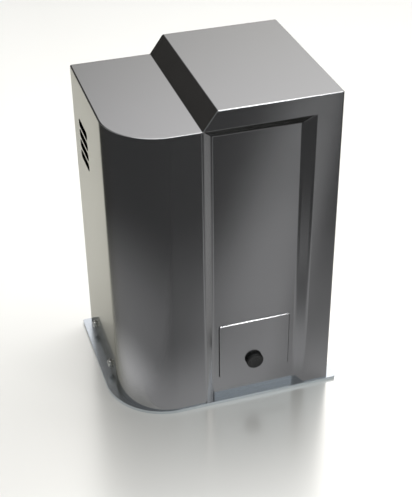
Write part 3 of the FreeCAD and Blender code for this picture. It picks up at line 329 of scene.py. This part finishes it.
def dress(piece, material, body, slot, *nodes):
    """Give a piece its material and its body, and hide the nodes it stands for; its slot is not used."""
    piece.data.materials.clear()
    piece.data.materials.append(material)
    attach(piece, body)
    if nodes:
        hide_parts(*nodes)


# Shader helpers

NOISE_ROUGHNESS = 0.55
NOISE_LOW = 0.3
NOISE_HIGH = 0.7


def new_material(name):
    """Material with its nodes and links."""
    material = bpy.data.materials.new(name)
    material.use_nodes = True
    return material, material.node_tree.nodes, material.node_tree.links


def coordinates(nodes, links, stretch=(1, 1, 1)):
    """Place on the object, stretched along its axes."""
    place = nodes.new("ShaderNodeTexCoord")
    mapping = nodes.new("ShaderNodeMapping")
    mapping.inputs["Scale"].default_value = stretch
    links.new(place.outputs["Object"], mapping.inputs["Vector"])
    return mapping.outputs["Vector"]


def noise(nodes, links, vector, scale, detail=4.0):
    """Cloudy pattern."""
    texture = nodes.new("ShaderNodeTexNoise")
    texture.inputs["Scale"].default_value = scale
    texture.inputs["Detail"].default_value = detail
    texture.inputs["Roughness"].default_value = NOISE_ROUGHNESS
    links.new(vector, texture.inputs["Vector"])
    return texture.outputs["Fac"]


def ramp(nodes, links, value, start, end, low=0.0, high=1.0, kind="SMOOTHSTEP"):
    """From low to high while a value goes from start to end."""
    node = nodes.new("ShaderNodeMapRange")
    node.interpolation_type = kind
    node.inputs["From Min"].default_value = start
    node.inputs["From Max"].default_value = end
    node.inputs["To Min"].default_value = low
    node.inputs["To Max"].default_value = high
    links.new(value, node.inputs["Value"])
    return node.outputs["Result"]


def vary(nodes, links, pattern, middle, spread):
    """Value that a noise pattern moves about its middle, over the range that most of the noise fills."""
    return ramp(nodes, links, pattern, NOISE_LOW, NOISE_HIGH, middle - spread, middle + spread, "LINEAR")


def blend(nodes, links, factor, first, second):
    """Mix of two colours, the first of which may come from another node."""
    mix = nodes.new("ShaderNodeMix")
    mix.data_type = "RGBA"
    first_colour, second_colour = mix.inputs[6], mix.inputs[7]
    if isinstance(first, bpy.types.NodeSocket):
        links.new(first, first_colour)
    else:
        first_colour.default_value = (*first, 1.0)
    second_colour.default_value = (*second, 1.0)
    links.new(factor, mix.inputs[0])
    return mix.outputs[2]


def calculate(nodes, links, kind, first, second):
    """Result of one operation on two values."""
    node = nodes.new("ShaderNodeMath")
    node.operation = kind
    links.new(first, node.inputs[0])
    links.new(second, node.inputs[1])
    return node.outputs["Value"]


def times(nodes, links, first, *others):
    """Values multiplied."""
    for other in others:
        first = calculate(nodes, links, "MULTIPLY", first, other)
    return first


def plus(nodes, links, first, *others):
    """Values added."""
    for other in others:
        first = calculate(nodes, links, "ADD", first, other)
    return first


def measure(nodes, links, vector, kind, other=(0, 0, 0)):
    """Length of a vector, or its product with another one."""
    node = nodes.new("ShaderNodeVectorMath")
    node.operation = kind
    node.inputs[1].default_value = other
    links.new(vector, node.inputs[0])
    return node.outputs["Value"]


def relief(nodes, links, height, strength, distance):
    """Shading normal with a pattern in relief."""
    bump = nodes.new("ShaderNodeBump")
    bump.inputs["Strength"].default_value = strength
    bump.inputs["Distance"].default_value = distance
    links.new(height, bump.inputs["Height"])
    return bump.outputs["Normal"]


def join(nodes, links, kind, first, second):
    """Two shaders added or mixed; a mix takes its factor later."""
    node = nodes.new(kind)
    shaders = [place for place in node.inputs if place.type == "SHADER"]
    links.new(first, shaders[0])
    links.new(second, shaders[1])
    return node


# Finishes

BROAD_SHARE = 0.13
COAT_ROUGHNESS = 0.04
FLAKE_TINT = 0.07


def surface(name, colour, metallic, rough, spread, tint, grain, bump, depth, stretch=(1, 1, 1), coat=0.0,
            bands=0.0):
    """Procedural finish: mottled colour and roughness, with grain or bands along Z in relief."""
    material, nodes, links = new_material(name)
    shader = nodes["Principled BSDF"]
    shader.inputs["Metallic"].default_value = metallic
    shader.inputs["Coat Weight"].default_value = coat
    shader.inputs["Coat Roughness"].default_value = COAT_ROUGHNESS
    vector = coordinates(nodes, links, stretch)
    fine = noise(nodes, links, vector, grain)
    broad = noise(nodes, links, vector, grain * BROAD_SHARE, detail=3.0)
    dark = [channel * (1 - tint) for channel in colour]
    light = [min(1.0, channel * (1 + tint)) for channel in colour]
    links.new(blend(nodes, links, broad, dark, light), shader.inputs["Base Color"])
    links.new(vary(nodes, links, fine, rough, spread), shader.inputs["Roughness"])
    height = fine
    if bands:
        wave = nodes.new("ShaderNodeTexWave")
        wave.bands_direction = "Z"
        wave.inputs["Scale"].default_value = bands
        links.new(coordinates(nodes, links), wave.inputs["Vector"])
        height = wave.outputs["Fac"]
    links.new(relief(nodes, links, height, bump, depth), shader.inputs["Normal"])
    return material


def paint(name, colour, rough):
    """Glossy metallic paint: fine flake under a clear coat with a slight orange peel."""
    material, nodes, links = new_material(name)
    shader = nodes["Principled BSDF"]
    shader.inputs["Metallic"].default_value = 0.97
    shader.inputs["Specular Tint"].default_value = (0.46, 0.45, 0.37, 1.0)
    shader.inputs["Coat Weight"].default_value = 0.5
    shader.inputs["Coat Roughness"].default_value = 0.03
    vector = coordinates(nodes, links)
    flake = noise(nodes, links, vector, scale=2600.0, detail=2.0)
    cloud = noise(nodes, links, vector, scale=14.0, detail=3.0)
    peel = noise(nodes, links, vector, scale=420.0, detail=2.0)
    dark = [channel * (1 - FLAKE_TINT) for channel in colour]
    light = [channel * (1 + FLAKE_TINT) for channel in colour]
    links.new(blend(nodes, links, flake, dark, light), shader.inputs["Base Color"])
    links.new(vary(nodes, links, cloud, rough, spread=0.02), shader.inputs["Roughness"])
    links.new(relief(nodes, links, flake, strength=0.04, distance=0.00005), shader.inputs["Normal"])
    links.new(relief(nodes, links, peel, strength=0.03, distance=0.00006), shader.inputs["Coat Normal"])
    return material


finishes = {"cover_paint": paint("cover_paint", (0.40, 0.40, 0.41), rough=0.16)}


def finish(name, colour, **look):
    """Keep a procedural finish under the name of its slot."""
    finishes[name] = surface(name, colour, **look)


finish("zinc_plate", (0.66, 0.70, 0.74), metallic=1.0, rough=0.25, spread=0.02, tint=0.04,
       grain=220.0, bump=0.01, depth=0.0001)
finish("fastener_steel", (0.60, 0.60, 0.58), metallic=1.0, rough=0.28, spread=0.08, tint=0.12,
       grain=500.0, bump=0.08, depth=0.0001)
finish("black_plastic", (0.018, 0.018, 0.018), metallic=0.0, rough=0.24, spread=0.05, tint=0.15,
       grain=900.0, bump=0.08, depth=0.0001)
finish("black_rubber", (0.022, 0.022, 0.022), metallic=0.0, rough=0.72, spread=0.08, tint=0.2,
       grain=700.0, bump=0.2, depth=0.0001)
finish("cast_aluminium", (0.58, 0.59, 0.60), metallic=1.0, rough=0.5, spread=0.08, tint=0.1,
       grain=420.0, bump=0.45, depth=0.0003)
finish("machined_steel", (0.56, 0.57, 0.58), metallic=1.0, rough=0.26, spread=0.08, tint=0.08,
       grain=60.0, bump=0.06, depth=0.0001, stretch=(1, 24, 1))
finish("bronze", (0.66, 0.44, 0.20), metallic=1.0, rough=0.32, spread=0.08, tint=0.1,
       grain=240.0, bump=0.08, depth=0.0001)
finish("copper", (0.62, 0.27, 0.12), metallic=1.0, rough=0.3, spread=0.08, tint=0.12,
       grain=300.0, bump=0.6, depth=0.0004, bands=330.0)
finish("lamination", (0.20, 0.20, 0.21), metallic=0.9, rough=0.45, spread=0.1, tint=0.12,
       grain=300.0, bump=0.6, depth=0.0002, bands=300.0)
finish("motor_paint", (0.075, 0.08, 0.085), metallic=0.1, rough=0.42, spread=0.08, tint=0.1,
       grain=520.0, bump=0.18, depth=0.0002, coat=0.2)
finish("red_plastic", (0.50, 0.035, 0.025), metallic=0.0, rough=0.34, spread=0.06, tint=0.08,
       grain=800.0, bump=0.08, depth=0.0001)
finish("board_green", (0.015, 0.14, 0.055), metallic=0.0, rough=0.3, spread=0.05, tint=0.25,
       grain=260.0, bump=0.06, depth=0.0001, coat=0.4)
finish("terminal_plastic", (0.04, 0.28, 0.10), metallic=0.0, rough=0.36, spread=0.05, tint=0.08,
       grain=700.0, bump=0.08, depth=0.0001)
finish("relay_plastic", (0.03, 0.05, 0.20), metallic=0.0, rough=0.4, spread=0.05, tint=0.08,
       grain=700.0, bump=0.08, depth=0.0001)
finish("coil_tape", (0.62, 0.45, 0.08), metallic=0.0, rough=0.4, spread=0.08, tint=0.12,
       grain=300.0, bump=0.4, depth=0.0002, bands=120.0)
finish("can_aluminium", (0.72, 0.73, 0.74), metallic=1.0, rough=0.22, spread=0.06, tint=0.06,
       grain=80.0, bump=0.05, depth=0.0001, stretch=(1, 1, 14))
finish("bare_sheet", (0.60, 0.61, 0.62), metallic=1.0, rough=0.34, spread=0.1, tint=0.16,
       grain=90.0, bump=0.05, depth=0.0001)
finish("spring_steel", (0.66, 0.66, 0.66), metallic=1.0, rough=0.18, spread=0.05, tint=0.06,
       grain=500.0, bump=0.05, depth=0.0001)

for subpart in frame["record"]["subparts"]:
    node = frame["nodes"][subpart["node"]]
    for place in node.material_slots:
        place.material = finishes[subpart["material_slot"]]


# Cover: one folded and welded sheet with the pressed recess in its front

def fold_z(x):
    """Height of the folded top over a place along X."""
    share = min(max((x - SLOPE_X) / SLOPE_RUN, 0.0), 1.0)
    return Z_LOW + share * (Z_HIGH - Z_LOW)


def cover_skin():
    """Outer face of the cover, with a rounding weight on each fold."""
    bm = bmesh.new()
    weight = bm.edges.layers.float.new("bevel_weight_edge")
    x0, x1 = wall_low[0], wall_high[0]
    recess_x1 = SLOPE_X + RECESS_WIDTH
    slope_top = SLOPE_X + SLOPE_RUN
    front_left = arc(x0 + CORNER, Y_FRONT + CORNER, CORNER, 180, 270, CORNER_STEPS)
    front_right = arc(x1 - BEND, Y_FRONT + BEND, BEND, 270, 360, BEND_STEPS)
    back_right = arc(x1 - BEND, Y_BACK - BEND, BEND, 0, 90, BEND_STEPS)
    back_left = arc(x0 + BEND, Y_BACK - BEND, BEND, 90, 180, BEND_STEPS)

    def column(points):
        """Bottom and top corners over a run of outline points."""
        lows = [bm.verts.new((x, y, Z_PLATE)) for x, y in points]
        highs = [bm.verts.new((x, y, fold_z(x))) for x, y in points]
        return lows, highs

    def wall(lows, highs):
        """Faces between a run of bottom corners and the top corners over them."""
        for index in range(len(lows) - 1):
            bm.faces.new((lows[index], lows[index + 1], highs[index + 1], highs[index]))

    def rounding(points, share):
        """Share of the fold's width for the edges along a run of corners."""
        for first, second in zip(points, points[1:]):
            bm.edges.get((first, second))[weight] = share

    left_low, left_high = column(back_left + front_left + [(SLOPE_X, Y_FRONT)])
    right_low, right_high = column([(recess_x1, Y_FRONT)] + front_right + back_right)
    back_low, back_high = column([(slope_top, Y_BACK), (SLOPE_X, Y_BACK)])
    ridge = bm.verts.new((slope_top, Y_FRONT, Z_HIGH))
    lintel = bm.verts.new((recess_x1, Y_FRONT, Z_LOW))
    panel_xs = (SLOPE_X + RECESS_CHAMFER, recess_x1 - RECESS_CHAMFER)
    panel_low = [bm.verts.new((x, PANEL_Y, Z_PLATE)) for x in panel_xs]
    panel_high = [bm.verts.new((x, PANEL_Y, Z_LOW - RECESS_CHAMFER)) for x in panel_xs]

    # Walls, recess and folded top
    wall(left_low, left_high)
    wall(right_low[1:], right_high[1:])
    wall([right_low[-1]] + back_low + [left_low[0]], [right_high[-1]] + back_high + [left_high[0]])
    bm.faces.new((right_low[0], right_low[1], right_high[1], right_high[0], lintel))
    bm.faces.new((left_high[-1], lintel, right_high[0], ridge))
    bm.faces.new((left_low[-1], panel_low[0], panel_high[0], left_high[-1]))
    bm.faces.new((panel_low[1], right_low[0], lintel, panel_high[1]))
    bm.faces.new((panel_high[0], panel_high[1], lintel, left_high[-1]))
    bm.faces.new((panel_low[0], panel_low[1], panel_high[1], panel_high[0]))
    bm.faces.new([back_high[1]] + left_high)
    bm.faces.new((left_high[-1], ridge, back_high[0], back_high[1]))
    bm.faces.new([ridge] + right_high + [back_high[0]])

    # Roundings: the lower top's edge narrows from the left wall into the round corner
    rounding([ridge] + right_high + [back_high[0]], RAISED_TOP_FOLD)
    rounding(left_high, LOWER_TOP_FOLD)
    corner_start = len(back_left)
    rounding([back_high[1]] + left_high[:corner_start + 1], LEFT_TOP_FOLD)
    for step in range(LEFT_TOP_TAPER_STEPS):
        first = corner_start + step
        narrowed = (LEFT_TOP_FOLD - LOWER_TOP_FOLD) * (step + 1) / LEFT_TOP_TAPER_STEPS
        rounding(left_high[first:first + 2], LEFT_TOP_FOLD - narrowed)
    rounding([ridge, back_high[0]], RIDGE_FOLD)
    rounding([left_high[-1], back_high[1]], STEP_FOLD)
    rounding([left_high[-1], ridge], STEP_FOLD)
    rounding([back_high[0], back_high[1]], STEP_FOLD)
    rounding([left_low[-1], left_high[-1]], LEFT_POST_FOLD)
    rounding([right_low[0], lintel], RIGHT_POST_FOLD)
    rounding([left_high[-1], lintel], LINTEL_FOLD)
    rounding([panel_low[0], panel_high[0]], PANEL_SIDE_FOLD)
    rounding([panel_high[1], panel_low[1]], PANEL_SIDE_FOLD)
    rounding([panel_high[0], panel_high[1]], PANEL_TOP_FOLD)
    rounding([left_high[-1], panel_high[0]], MITRE_FOLD)
    rounding([lintel, panel_high[1]], MITRE_FOLD)
    return new_piece("cover_shell", bm)


def vent_cutter(z):
    """Slot with round ends that widens towards the inside of the sheet."""
    half = (VENT_LENGTH - VENT_HEIGHT) / 2
    rings = []
    for depth in (-VENT_OVERCUT, SHEET + VENT_OVERCUT):
        radius = VENT_HEIGHT / 2 + VENT_FLARE * depth
        ends = arc(VENT_Y + half, z, radius, -90, 90, VENT_END_STEPS)
        ends += arc(VENT_Y - half, z, radius, 90, 270, VENT_END_STEPS)
        rings.append([(wall_low[0] + depth, y, w) for y, w in ends])
    bm = bmesh.new()
    skin(bm, rings)
    return new_piece("cutter", bm)


def hatch_cutter():
    """Opening in the recessed panel, with a gap around the hatch."""
    opening = rounded_box(hatch_low[0] - HATCH_GAP, hatch_low[2] - HATCH_GAP,
                          hatch_high[0] + HATCH_GAP, hatch_high[2] + HATCH_TOP_GAP,
                          (HATCH_OPENING_CORNER,) * 4, (BEND_STEPS,) * 4)
    front = PANEL_Y - HATCH_OVERCUT_FRONT
    return cutter_from([(x, front, z) for x, z in opening], (0, HATCH_CUT_DEPTH, 0))


def back_cutter(node, radius):
    """Round opening in the back wall about a node."""
    x, _, z = centre(node)
    outline = [(u, Y_BACK - BACK_OVERCUT, v) for u, v in circle(x, z, radius)]
    return cutter_from(outline, (0, 2 * BACK_OVERCUT, 0))


def cover_shell():
    """Sheet cover with its folds, vents, hatch opening and the two openings at the back."""
    piece = cover_skin()
    weighted_bevel(piece, FOLD, FOLD_STEPS).use_clamp_overlap = False
    thick = piece.modifiers.new("sheet", "SOLIDIFY")
    thick.thickness = SHEET
    thick.offset = -1.0
    thick.use_even_offset = True
    bake(piece)
    cutters = [vent_cutter(Z_LOW - VENT_DROP - index * VENT_PITCH) for index in range(VENT_COUNT)]
    cutters.append(hatch_cutter())
    cutters.append(back_cutter("pinion", PINION_OPENING))
    cutters.append(back_cutter("limit_switch_lever", LEVER_OPENING))
    cut(piece, cutters)
    settle(piece, angle=30)
    return piece


dress(cover_shell(), finishes["cover_paint"], "frame", "cover_paint",
      "cover_wall", "cover_top", "front_panel")


# Release hatch with its hinge ears, and the turn knob

def hatch_leaf():
    """Flat leaf with rolled edges, two hinge ears behind it and a lip bent along its top edge."""
    bm = bmesh.new()
    x0, x1 = hatch_low[0], hatch_high[0]
    y = hatch_low[1]
    top = hatch_high[2]
    outline = rounded_box(x0, hatch_low[2], x1, top, (LEAF_CORNER,) * 4, (BEND_STEPS,) * 4)
    prism(bm, [(x, y, z) for x, z in outline], (0, SHEET, 0))
    hinge_z = top - HINGE_DROP
    ear = [(y + SHEET, hinge_z + EAR_RADIUS)]
    ear += arc(y + HINGE_INSET, hinge_z, EAR_RADIUS, 90, -90, EAR_STEPS)
    ear += [(y + SHEET, hinge_z - EAR_RADIUS)]
    for x in (x0 + EAR_INSET, x1 - EAR_INSET - EAR_WIDTH):
        prism(bm, [(x, v, w) for v, w in ear], (EAR_WIDTH, 0, 0))
    weight = bm.edges.layers.float.new("bevel_weight_edge")
    for edge in bm.edges:
        on_face = all(abs(vert.co.y - y) < NEAR for vert in edge.verts)
        at_top = all(vert.co.z > top - NEAR for vert in edge.verts)
        edge[weight] = LEAF_EDGE_SHARE if on_face and not at_top else 0.0
    piece = new_piece("hatch_leaf", bm)
    weighted_bevel(piece, LEAF_EDGE, LEAF_EDGE_STEPS)
    bake(piece)
    lip = [(y - LIP_FRONT, top - LIP_DROP), (y + LIP_BACK, top + LIP_RISE), (y - LIP_FRONT, top + LIP_RISE)]
    wedge = cutter_from([(x0 - LIP_OVERCUT, v, w) for v, w in lip], (x1 - x0 + 2 * LIP_OVERCUT, 0, 0))
    cut(piece, [wedge])
    settle(piece)
    return piece


def turn_knob():
    """Fluted knob with a waist, a rolled rim and a dished face, on its stem."""
    x, _, z = centre("latch_knob")
    place = Matrix.Translation((x, hatch_low[1], z)) @ Matrix.Rotation(math.radians(90), 4, "X")

    def flutes(angle, radius):
        """Share of the radius that is left at an angle."""
        if radius <= FLUTED_FROM:
            return 1.0
        return 1.0 - FLUTE_DEPTH * max(0.0, math.cos(FLUTES * angle)) ** 2

    bm = bmesh.new()
    lathe(bm, KNOB_PROFILE, place, KNOB_STEPS, flutes)
    lathe(bm, [(STEM_RADIUS, STEM_BACK), (STEM_RADIUS, STEM_FRONT)], place, steps=32)
    piece = new_piece("turn_knob", bm)
    settle(piece, angle=40)
    return piece


dress(hatch_leaf(), finishes["cover_paint"], "hatch", "cover_paint", "hatch_door")
dress(turn_knob(), finishes["black_plastic"], "knob", "black_plastic", "latch_knob")


# Base plate and cover screws

def plate():
    """Flat plate that follows the cover's round corner, with the cable entry and four anchor holes."""
    bm = bmesh.new()
    outline = rounded_box(plate_low[0], plate_low[1], plate_high[0], plate_high[1],
                          (PLATE_CORNER,) + (PLATE_SMALL_CORNER,) * 3,
                          (PLATE_CORNER_STEPS,) + (BEND_STEPS,) * 3)
    prism(bm, [(x, y, plate_low[2]) for x, y in outline], (0, 0, plate_high[2] - plate_low[2]))
    piece = new_piece("mounting_plate", bm)
    entry_x, entry_y, _ = centre("cable_grommet")
    holes = [(entry_x, entry_y, GROMMET_HOLE)]
    for x in (-ANCHOR_X, ANCHOR_X):
        for y in (-ANCHOR_Y, ANCHOR_Y):
            holes.append((x, y, ANCHOR_HOLE))
    cutters = []
    for x, y, radius in holes:
        ring = [(u, v, -HOLE_OVERCUT) for u, v in circle(x, y, radius)]
        cutters.append(cutter_from(ring, (0, 0, HOLE_CUT_DEPTH)))
    cut(piece, cutters)
    soften(piece, PLATE_EDGE, steps=2)
    return piece


def screws():
    """Pan-head screws on washers, with one set of cutters for each direction of the cross recess."""
    bm = bmesh.new()
    slots = {0: bmesh.new(), 90: bmesh.new()}
    z = centre("cover_screws")[2]
    corners = [(-SLOT_HALF_LENGTH, -SLOT_HALF_WIDTH), (SLOT_HALF_LENGTH, -SLOT_HALF_WIDTH),
               (SLOT_HALF_LENGTH, SLOT_HALF_WIDTH), (-SLOT_HALF_LENGTH, SLOT_HALF_WIDTH)]
    for y in SCREW_YS:
        for side in (-1, 1):
            seat = Vector((wall_high[0] * side, y, z))
            place = Matrix.Translation(seat) @ Matrix.Rotation(math.radians(90 * side), 4, "Y")
            lathe(bm, SCREW_SHANK + SCREW_HEAD, place, SCREW_STEPS)
            for turn in slots:
                blade = place @ Matrix.Rotation(math.radians(turn + SLOT_TURN), 4, "Z")
                points = [blade @ Vector((u, v, SLOT_FLOOR)) for u, v in corners]
                prism(slots[turn], points, blade.to_3x3() @ Vector((0, 0, SLOT_CUT_DEPTH)))
    piece = new_piece("cover_screw_set", bm)
    cut(piece, [new_piece("cutter", slot) for slot in slots.values()])
    settle(piece, angle=40)
    return piece


dress(plate(), finishes["zinc_plate"], "frame", "zinc_plate", "base_plate")
dress(screws(), finishes["fastener_steel"], "frame", "fastener_steel", "cover_screws")


# Limit switch whip

def whip():
    """Coil spring that rises from the switch lever, with its core and its tip."""
    x, y, _ = centre("limit_switch_whip")
    low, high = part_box("limit_switch_whip")
    axis = Vector((x, y, 0))
    top = high[2]
    lever_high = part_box("limit_switch_lever")[1]
    start = lever_high[2] - WHIP_SOCKET
    turns = int((top - WHIP_TIP_LENGTH - start) / WHIP_PITCH)
    points = []
    for step in range(turns * WHIP_TURN_STEPS + 1):
        share = step / WHIP_TURN_STEPS
        points.append(axis + polar(WHIP_COIL, 2 * math.pi * share, start + WHIP_PITCH * share))
    bm = bmesh.new()
    tube(bm, points, WHIP_WIRE, sides=8)
    place = Matrix.Translation(axis)
    lathe(bm, [(radius, top - drop) for radius, drop in WHIP_TIP], place, steps=32)
    lathe(bm, [(WHIP_CORE, low[2]), (WHIP_CORE, top - WHIP_TIP_LENGTH)], place, steps=16)
    piece = new_piece("switch_spring", bm)
    settle(piece, angle=40)
    return piece


dress(whip(), finishes["spring_steel"], "switch", "spring_steel", "limit_switch_whip")


# Studio: a sky that is brightest behind, three soft lamps, a pale floor and two cards of painted reflection,
# glow and shade that only the object's gloss sees

FLOOR_REACH = 40.0
FLOOR_DROP = 0.0003
CARD_REACH = 4.0
# Direction across the painted lighter stripe on the front card.
PAINTED_STRIPE_ACROSS = (-0.493, 0.870, 0.0)


def studio_world():
    """Dim sky with glows in front, at the left and behind: direction, start, full strength, colour."""
    glows = [((-0.25, -0.72, 0.65), 0.55, 0.85, (0.32, 0.34, 0.34)),
             ((-0.78, 0.10, 0.62), 0.60, 0.92, (0.26, 0.265, 0.265)),
             ((0.60, 0.45, 0.66), 0.60, 0.95, (1.47, 1.465, 1.48))]
    world = bpy.data.worlds.new("studio")
    scene.world = world
    world.use_nodes = True
    nodes = world.node_tree.nodes
    links = world.node_tree.links
    direction = nodes.new("ShaderNodeTexCoord").outputs["Generated"]
    sky = (0.045, 0.043, 0.040)
    for towards, start, full, colour in glows:
        nearness = measure(nodes, links, direction, "DOT_PRODUCT", towards)
        sky = blend(nodes, links, ramp(nodes, links, nearness, start, full), sky, colour)
    links.new(sky, nodes["Background"].inputs["Color"])


def soft_lamp(name, place, aim, size, watts, colour):
    """Square lamp that points at a place."""
    data = bpy.data.lights.new(name, "AREA")
    data.color = colour
    data.shape = "SQUARE"
    data.size = size
    data.energy = watts
    lamp = bpy.data.objects.new(name, data)
    lamp.location = place
    lamp.rotation_euler = (Vector(aim) - Vector(place)).to_track_quat("-Z", "Y").to_euler()
    scene.collection.objects.link(lamp)


def bare_material(name):
    """Material without a shader yet, with the place on its object and that place's X, Y and Z."""
    material, nodes, links = new_material(name)
    nodes.remove(nodes["Principled BSDF"])
    place = nodes.new("ShaderNodeTexCoord").outputs["Object"]
    split = nodes.new("ShaderNodeSeparateXYZ")
    links.new(place, split.inputs["Vector"])
    return material, nodes, links, place, split.outputs


def floor_material():
    """White floor with a sheen that is strongest beside the object's front, and stronger at the right."""
    material, nodes, links, _, axes = bare_material("studio_floor")
    matt = nodes.new("ShaderNodeBsdfDiffuse")
    matt.inputs["Color"].default_value = (0.92, 0.915, 0.89, 1.0)
    rays = nodes.new("ShaderNodeLightPath").outputs
    seen = plus(nodes, links, rays["Is Camera Ray"], rays["Is Glossy Ray"], rays["Is Transmission Ray"])
    glow = nodes.new("ShaderNodeEmission")
    glow.inputs["Color"].default_value = (1.0, 0.99, 0.94, 1.0)
    strength = ramp(nodes, links, seen, start=0.0, end=1.0, low=0.0, high=0.20, kind="LINEAR")
    links.new(strength, glow.inputs["Strength"])
    lit = join(nodes, links, "ShaderNodeAddShader", matt.outputs["BSDF"], glow.outputs["Emission"])
    sheen = nodes.new("ShaderNodeBsdfAnisotropic")
    sheen.inputs["Color"].default_value = (1.0, 0.985, 0.93, 1.0)
    sheen.inputs["Roughness"].default_value = 0.22
    near = ramp(nodes, links, axes["Y"], start=-0.42, end=-0.12, low=0.14, high=0.5)
    behind = ramp(nodes, links, axes["Y"], start=-0.02, end=0.35, low=1.0, high=0.15)
    across = ramp(nodes, links, axes["X"], start=-0.14, end=0.08, low=0.72, high=1.3)
    mix = join(nodes, links, "ShaderNodeMixShader", lit.outputs["Shader"], sheen.outputs["BSDF"])
    links.new(times(nodes, links, near, behind, across), mix.inputs["Fac"])
    links.new(mix.outputs["Shader"], nodes["Material Output"].inputs["Surface"])
    return material


def flat_sheet(name, x0, x1, reach, z, material):
    """Level rectangle of the studio."""
    bm = bmesh.new()
    corners = [(x0, -reach), (x1, -reach), (x1, reach), (x0, reach)]
    bm.faces.new([bm.verts.new((x, y, z)) for x, y in corners])
    piece = new_piece(name, bm)
    piece.data.materials.append(material)
    return piece


def studio_floor():
    """Wide floor just under the plate."""
    z = plate_low[2] - FLOOR_DROP
    piece = flat_sheet("studio_floor", -FLOOR_REACH, FLOOR_REACH, FLOOR_REACH, z, floor_material())


def painted_reflection_material(name, fade, tone, near, painted_stripe):
    """Painted reflection card: dark from above and clear from below, with a painted glow close by, and
    painted shade in second reflections.

    The card fades in along its X axis. Its painted tone goes from the third to the fourth value between two
    distances, and the painted glow ends at a distance. With a painted stripe the distance is along X, and a
    lighter slanted stripe of painted reflection rises and falls across it; without one the distance is from
    the card's origin.
    """
    material, nodes, links, place, axes = bare_material(name)
    away = axes["X"] if painted_stripe else measure(nodes, links, place, "LENGTH")
    below = nodes.new("ShaderNodeNewGeometry").outputs["Backfacing"]
    above = ramp(nodes, links, below, start=0.0, end=1.0, low=1.0, high=0.0)
    share = times(nodes, links, ramp(nodes, links, axes["X"], *fade), above)
    # Painted reflection: the card's dark tone, graded by distance, which only the object's gloss sees.
    painted_reflection_tone = ramp(nodes, links, away, *tone)
    # Painted light: the card glows close to the object, though it is no lamp.
    reach, strength = near
    painted_glow_strength = ramp(nodes, links, away, start=0.0, end=reach, low=strength, high=0.0)
    # Painted reflection: a lighter slanted stripe rises and falls across the card.
    if painted_stripe:
        rise_start, rise_end, fall_start, fall_end, lift = painted_stripe
        sideways = ramp(nodes, links, axes["Y"], start=-0.05, end=0.20, low=1.0, high=0.6)
        painted_glow_strength = times(nodes, links, painted_glow_strength, sideways)
        slant = measure(nodes, links, place, "DOT_PRODUCT", PAINTED_STRIPE_ACROSS)
        rise = ramp(nodes, links, slant, rise_start, rise_end, 0.0, lift)
        fall = ramp(nodes, links, slant, fall_start, fall_end, 1.0, 0.0)
        outwards = ramp(nodes, links, away, start=0.2, end=0.45, low=0.9, high=1.3)
        painted_reflection_tone = plus(nodes, links, painted_reflection_tone, times(nodes, links, rise, fall, outwards))
    # Painted shade: the card turns darker where it is seen after two glossy bounces, which darkens the top
    # chamfer of the recess.
    bounces = nodes.new("ShaderNodeLightPath").outputs["Glossy Depth"]
    painted_shade_after_one_bounce = ramp(nodes, links, bounces, start=1.0, end=2.0, low=1.0, high=0.1)
    # Emission of the painted glow close to the object.
    glow = nodes.new("ShaderNodeEmission")
    links.new(times(nodes, links, painted_glow_strength, painted_shade_after_one_bounce), glow.inputs["Strength"])
    dark = nodes.new("ShaderNodeBsdfDiffuse")
    links.new(times(nodes, links, painted_reflection_tone, painted_shade_after_one_bounce), dark.inputs["Color"])
    card = join(nodes, links, "ShaderNodeAddShader", dark.outputs["BSDF"], glow.outputs["Emission"])
    clear = nodes.new("ShaderNodeBsdfTransparent")
    mix = join(nodes, links, "ShaderNodeMixShader", clear.outputs["BSDF"], card.outputs["Shader"])
    links.new(share, mix.inputs["Fac"])
    links.new(mix.outputs["Shader"], nodes["Material Output"].inputs["Surface"])
    return material


def painted_reflection_card(name, place, turn, fade, tone, near, painted_stripe=None):
    """Card of painted reflection just over the floor, that only the object's gloss sees."""
    material = painted_reflection_material(name, fade, tone, near, painted_stripe)
    piece = flat_sheet(name, 0.0, CARD_REACH, CARD_REACH, 0.0, material)
    piece.location = place
    piece.rotation_euler = (0, 0, math.radians(turn))
    piece.visible_camera = False
    piece.visible_diffuse = False
    piece.visible_shadow = False


studio_world()
soft_lamp("overhead", place=(0.3, 0.45, 1.9), aim=(0.0, 0.0, 0.2), size=1.2, watts=19.0,
          colour=(1.0, 0.99, 0.97))
soft_lamp("key", place=(0.52, -0.71, 1.75), aim=(0.05, -0.12, 0.2), size=0.25, watts=3.0,
          colour=(1.0, 1.0, 1.0))
soft_lamp("window", place=(0.78, -2.1, 1.54), aim=(0.03, -0.12, 0.0), size=0.6, watts=1.0,
          colour=(0.84, 0.93, 1.0))
studio_floor()
# Cards of painted reflection, painted glow and painted shade, seen only in the object's gloss.
painted_reflection_card("front_painted_reflection", place=(0.0, Y_FRONT, 0.003), turn=-90, fade=(-0.02, 0.01),
          tone=(0.1, 0.5, 0.25, 0.07), near=(0.16, 0.32), painted_stripe=(-0.115, -0.005, 0.035, 0.085, 0.25))
painted_reflection_card("left_painted_reflection", place=(wall_low[0], Y_FRONT + CORNER, 0.004), turn=197.5, fade=(0.0, 0.08),
          tone=(0.1, 0.55, 0.44, 0.07), near=(0.18, 0.85))


# Camera, fitted to the edges of the cover in the photograph

def camera():
    """View with its axes to the right, down and ahead in the picture."""
    data = bpy.data.cameras.new("camera")
    data.lens = 80.195
    data.sensor_width = 36.0
    eye = bpy.data.objects.new("camera", data)
    right = Vector((0.95363, -0.30079, -0.01070))
    down = Vector((-0.17648, -0.53001, -0.82942))
    ahead = Vector((0.24381, 0.79285, -0.55852))
    turn = Matrix((right, -down, -ahead)).transposed()
    place = Matrix.Translation((-0.38508, -1.26510, 1.07616))
    eye.matrix_world = place @ turn.to_4x4()
    scene.collection.objects.link(eye)
    scene.camera = eye


camera()
scene.view_settings.view_transform = "Standard"
